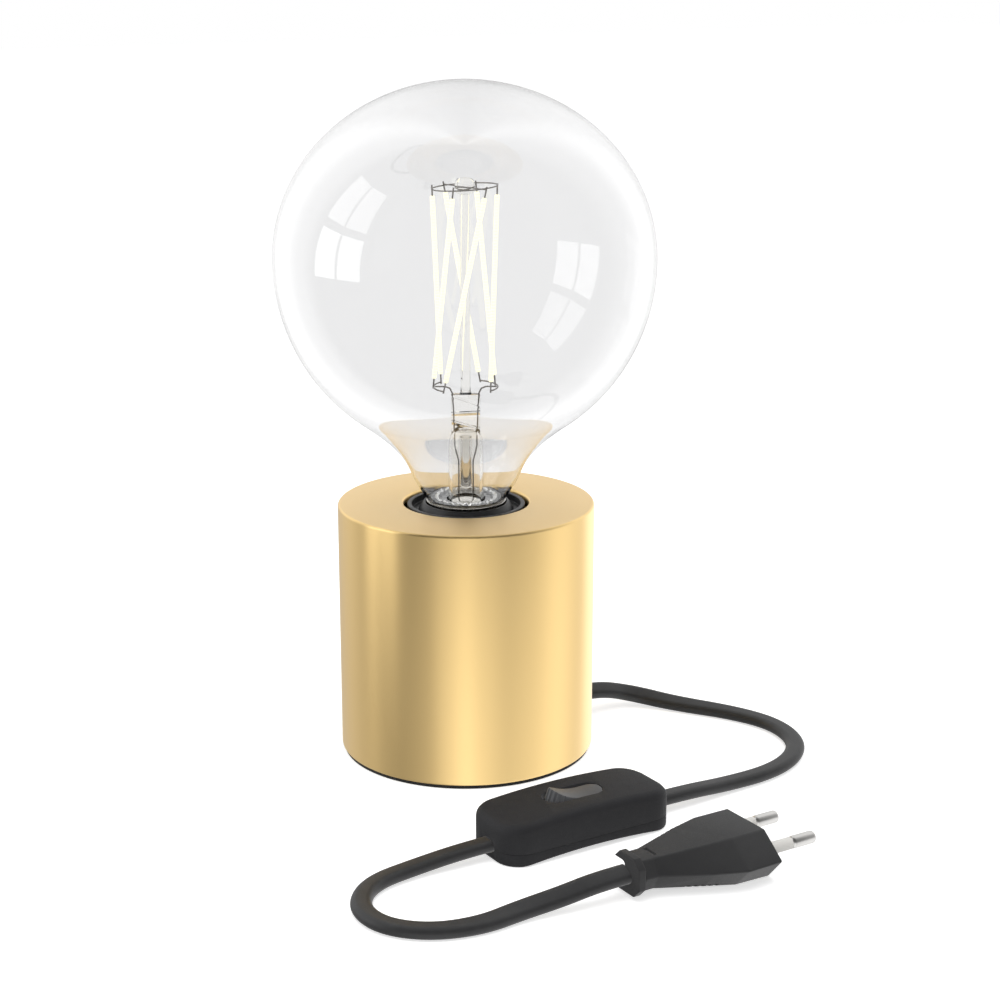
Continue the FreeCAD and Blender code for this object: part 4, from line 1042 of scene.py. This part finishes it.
switch_innards = (
    "bridge_contact", "switch_terminals", "switch_terminal_screws", "clamp_screws", "housing_screws",
    "rocker_pin", "cord_clamps", "switch_cord_ends", "switch_conductors",
)
dress(contact_brass, *switch_innards[:2])
dress(zinc_steel, *switch_innards[2:6])
dress(switch_black, "cord_clamps")
dress(cord_vinyl, "switch_cord_ends")
dress(wire_coat, "switch_conductors")
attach(first_cord, "root")
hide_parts("cord_base_to_switch")

# ---- Cord from the switch to the plug ----
# The same flat cord goes on from the other end of the switch, turns back in a wide bend and rises to
# the plug.
route_to_plug = [
    (-43.1, -83.6, entry_z), (-52.5, -83.6, entry_z), (-67.0, -82.4, 2.5), (-84.0, -84.6, 2.1),
    (-94.3, -95.5, 2.1), (-94.3, -109.4, 2.1), (-84.8, -120.0, 2.1), (-70.5, -124.4, 2.2),
    (-56.5, -123.2, 2.7), (-44.5, -125.0, 4.4), (-33.0, -127.1, 7.0), (-23.0, -127.1, 7.0),
]
second_cord = lay_cord("second_cord", route_to_plug, (0, 0, 0, 0, 0, 0, 0, 10, 25, 34, 34, 30))
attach(second_cord, "root")
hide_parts("cord_switch_to_plug")

# ---- Plug ----
# A flat two-pin plug moulded on the cord in black vinyl: six-sided, drawn in to a slim neck and a
# square collar, with short grip grooves on two of its slants.  The nickel pins have white sleeves.
plug_x, plug_y, plug_z = 21.0, -127.1, 7.0
plug_middle = (plug_x * mm, plug_y * mm, plug_z * mm)
plug_vinyl = make_finish(
    "plug vinyl", (0.024, 0.024, 0.025), (0.030, 0.030, 0.031), (0.5, 0.62), patch=260, grain=3000,
    depth=0.03, Specular_IOR_Level=0.4,
)
plug_sections = (
    (0.0, 17.65, 8.8, 6.95, 11.6, 0.0), (12.5, 18.0, 8.8, 7.0, 11.2, 0.0), (22.0, 14.2, 7.3, 6.35, 8.7, 0.9),
    (37.0, 6.6, 4.0, 4.9, 4.0, 2.1), (41.5, 6.6, 4.0, 4.9, 4.0, 2.1),
)


def section_at(back):
    """Sizes of the plug's section some millimetres behind the face with the pins."""
    for near, far in zip(plug_sections, plug_sections[1:]):
        if near[0] <= back <= far[0]:
            share = (back - near[0]) / (far[0] - near[0])
            return [a + (b - a) * share for a, b in zip(near[1:], far[1:])]


def set_section(piece, x, half_w, top_w, half_h, low_w, low):
    """In edit mode, bring the ring at the end of the body to a six-cornered section."""
    bpy.ops.object.mode_set(mode="OBJECT")
    ring = [corner for corner in piece.data.vertices if corner.select]
    ring.sort(key=lambda corner: math.atan2(corner.co.z - plug_z * mm, corner.co.y - plug_y * mm))
    places = (
        (-low_w, low), (low_w, low), (half_w, plug_z), (top_w, plug_z + half_h), (-top_w, plug_z + half_h),
        (-half_w, plug_z + 0.001),
    )
    for corner, (y, z) in zip(ring, places):
        corner.co = Vector((x, plug_y + y, z)) * mm
    bpy.ops.object.mode_set(mode="EDIT")


bpy.ops.object.select_all(action="DESELECT")
bpy.ops.mesh.primitive_circle_add(
    vertices=6, radius=7 * mm, fill_type="NGON", location=plug_middle, rotation=(0, math.radians(90), 0)
)
plug = bpy.context.object
plug.name = "plug"
bpy.ops.object.transform_apply(location=True, rotation=True, scale=True)
bpy.ops.object.mode_set(mode="EDIT")
bpy.ops.mesh.select_all(action="SELECT")
bpy.ops.transform.rotate(value=math.radians(30), orient_axis="X", center_override=plug_middle)
set_section(plug, plug_x, *plug_sections[0][1:])
for back, *sizes in plug_sections[1:]:
    extrude_by(-5, 0, 0)
    set_section(plug, plug_x - back, *sizes)
close_up(plug)
ease_edges(plug, 0.5, steps=3, angle=12)
grooves = []
for count in range(5):
    back = 19.0 + 2.1 * count
    half_w, top_w, half_h, low_w, low = section_at(back)
    mid = Vector((plug_x - back, plug_y, plug_z))
    for edge, end in (
        (Vector((0, -half_w, 0)), Vector((0, -low_w, low - plug_z))),
        (Vector((0, half_w, 0)), Vector((0, top_w, half_h))),
    ):
        run = end - edge
        outward = run.cross(Vector((1, 0, 0))).normalized()
        lift = outward * (0.45 if outward.dot(edge) > 0 else -0.45)
        start, stop = (mid + edge + run * share + lift for share in (0.82, 1.3))
        grooves.append(make_bar("groove", start, stop, 0.85, sides=20))
cut_with(plug, join_pieces("grooves", grooves))
mould_mark = rounded_block("mould_mark", 11.3, 13.4, 1.3, 5.4, 0.3)
close_up(mould_mark)
mould_mark.location = ((plug_x - 35.6) * mm, plug_y * mm, 0)
cut_with(plug, mould_mark)
collar = rounded_block("collar", -22.9, -20.4, 12.0, 13.0, 2.8, steps=1)
close_up(collar)
ease_edges(collar, 0.3, steps=2, angle=30)
recess = rounded_block("recess", -25.0, -18.0, 7.4, 8.2, 1.4, steps=3)
close_up(recess)
for block, roll, operation in ((collar, 0, "UNION"), (recess, 12, "DIFFERENCE")):
    block.rotation_euler = (math.radians(roll), math.radians(90), 0)
    block.location = (0, plug_y * mm, plug_z * mm)
    cut_with(plug, block, operation)
settle(plug, plug_vinyl, "root", "plug_pvc", "plug_body", smooth=14)

pin_metal = make_finish(
    "pin nickel", (0.66, 0.65, 0.63), (0.72, 0.71, 0.69), (0.3, 0.38), patch=300, grain=4000, depth=0.002,
    metallic=1.0,
)
sleeve_white = make_finish(
    "pin sleeve", (0.72, 0.70, 0.66), (0.78, 0.77, 0.74), (0.35, 0.5), patch=500, grain=3500, depth=0.01
)
pin_spacing = 17.5


def along_pin(name, side, start, end, radius, sides=48):
    """Bar on the axis of a pin, between two distances in front of the plug, in millimetres."""
    pin_y = plug_y + side * pin_spacing / 2
    return make_bar(name, (plug_x + start, pin_y, plug_z), (plug_x + end, pin_y, plug_z), radius, sides)


pins = []
for side in (-1, 1):
    pin = along_pin("pin", side, 10, 19, 2.0)
    ease_edges(pin, 1.1, steps=5, angle=50)
    pins += [pin, along_pin("pin_core", side, -6, 10.5, 1.55, sides=32)]
pins = join_pieces("pins", pins)
settle(pins, pin_metal, "root", "nickel", "plug_pins")
sleeves = join_pieces("sleeves", [along_pin("sleeve", side, -3, 9.95, 1.9) for side in (-1, 1)])
ease_edges(sleeves, 0.15, steps=2, angle=50)
settle(sleeves, sleeve_white, "root", "sleeve_white", "pin_sleeves")
dress(wire_coat, "plug_conductors")

# ---- Last settings ----
# The black pieces beside the drum don't show in its satin wall, as in the photograph.
black_things = [first_cord, second_cord, upper, lower, rocker, plug, pins, sleeves]
black_things += [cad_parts[name] for name in switch_innards + ("plug_conductors",)]
for piece in black_things:
    piece.visible_glossy = False
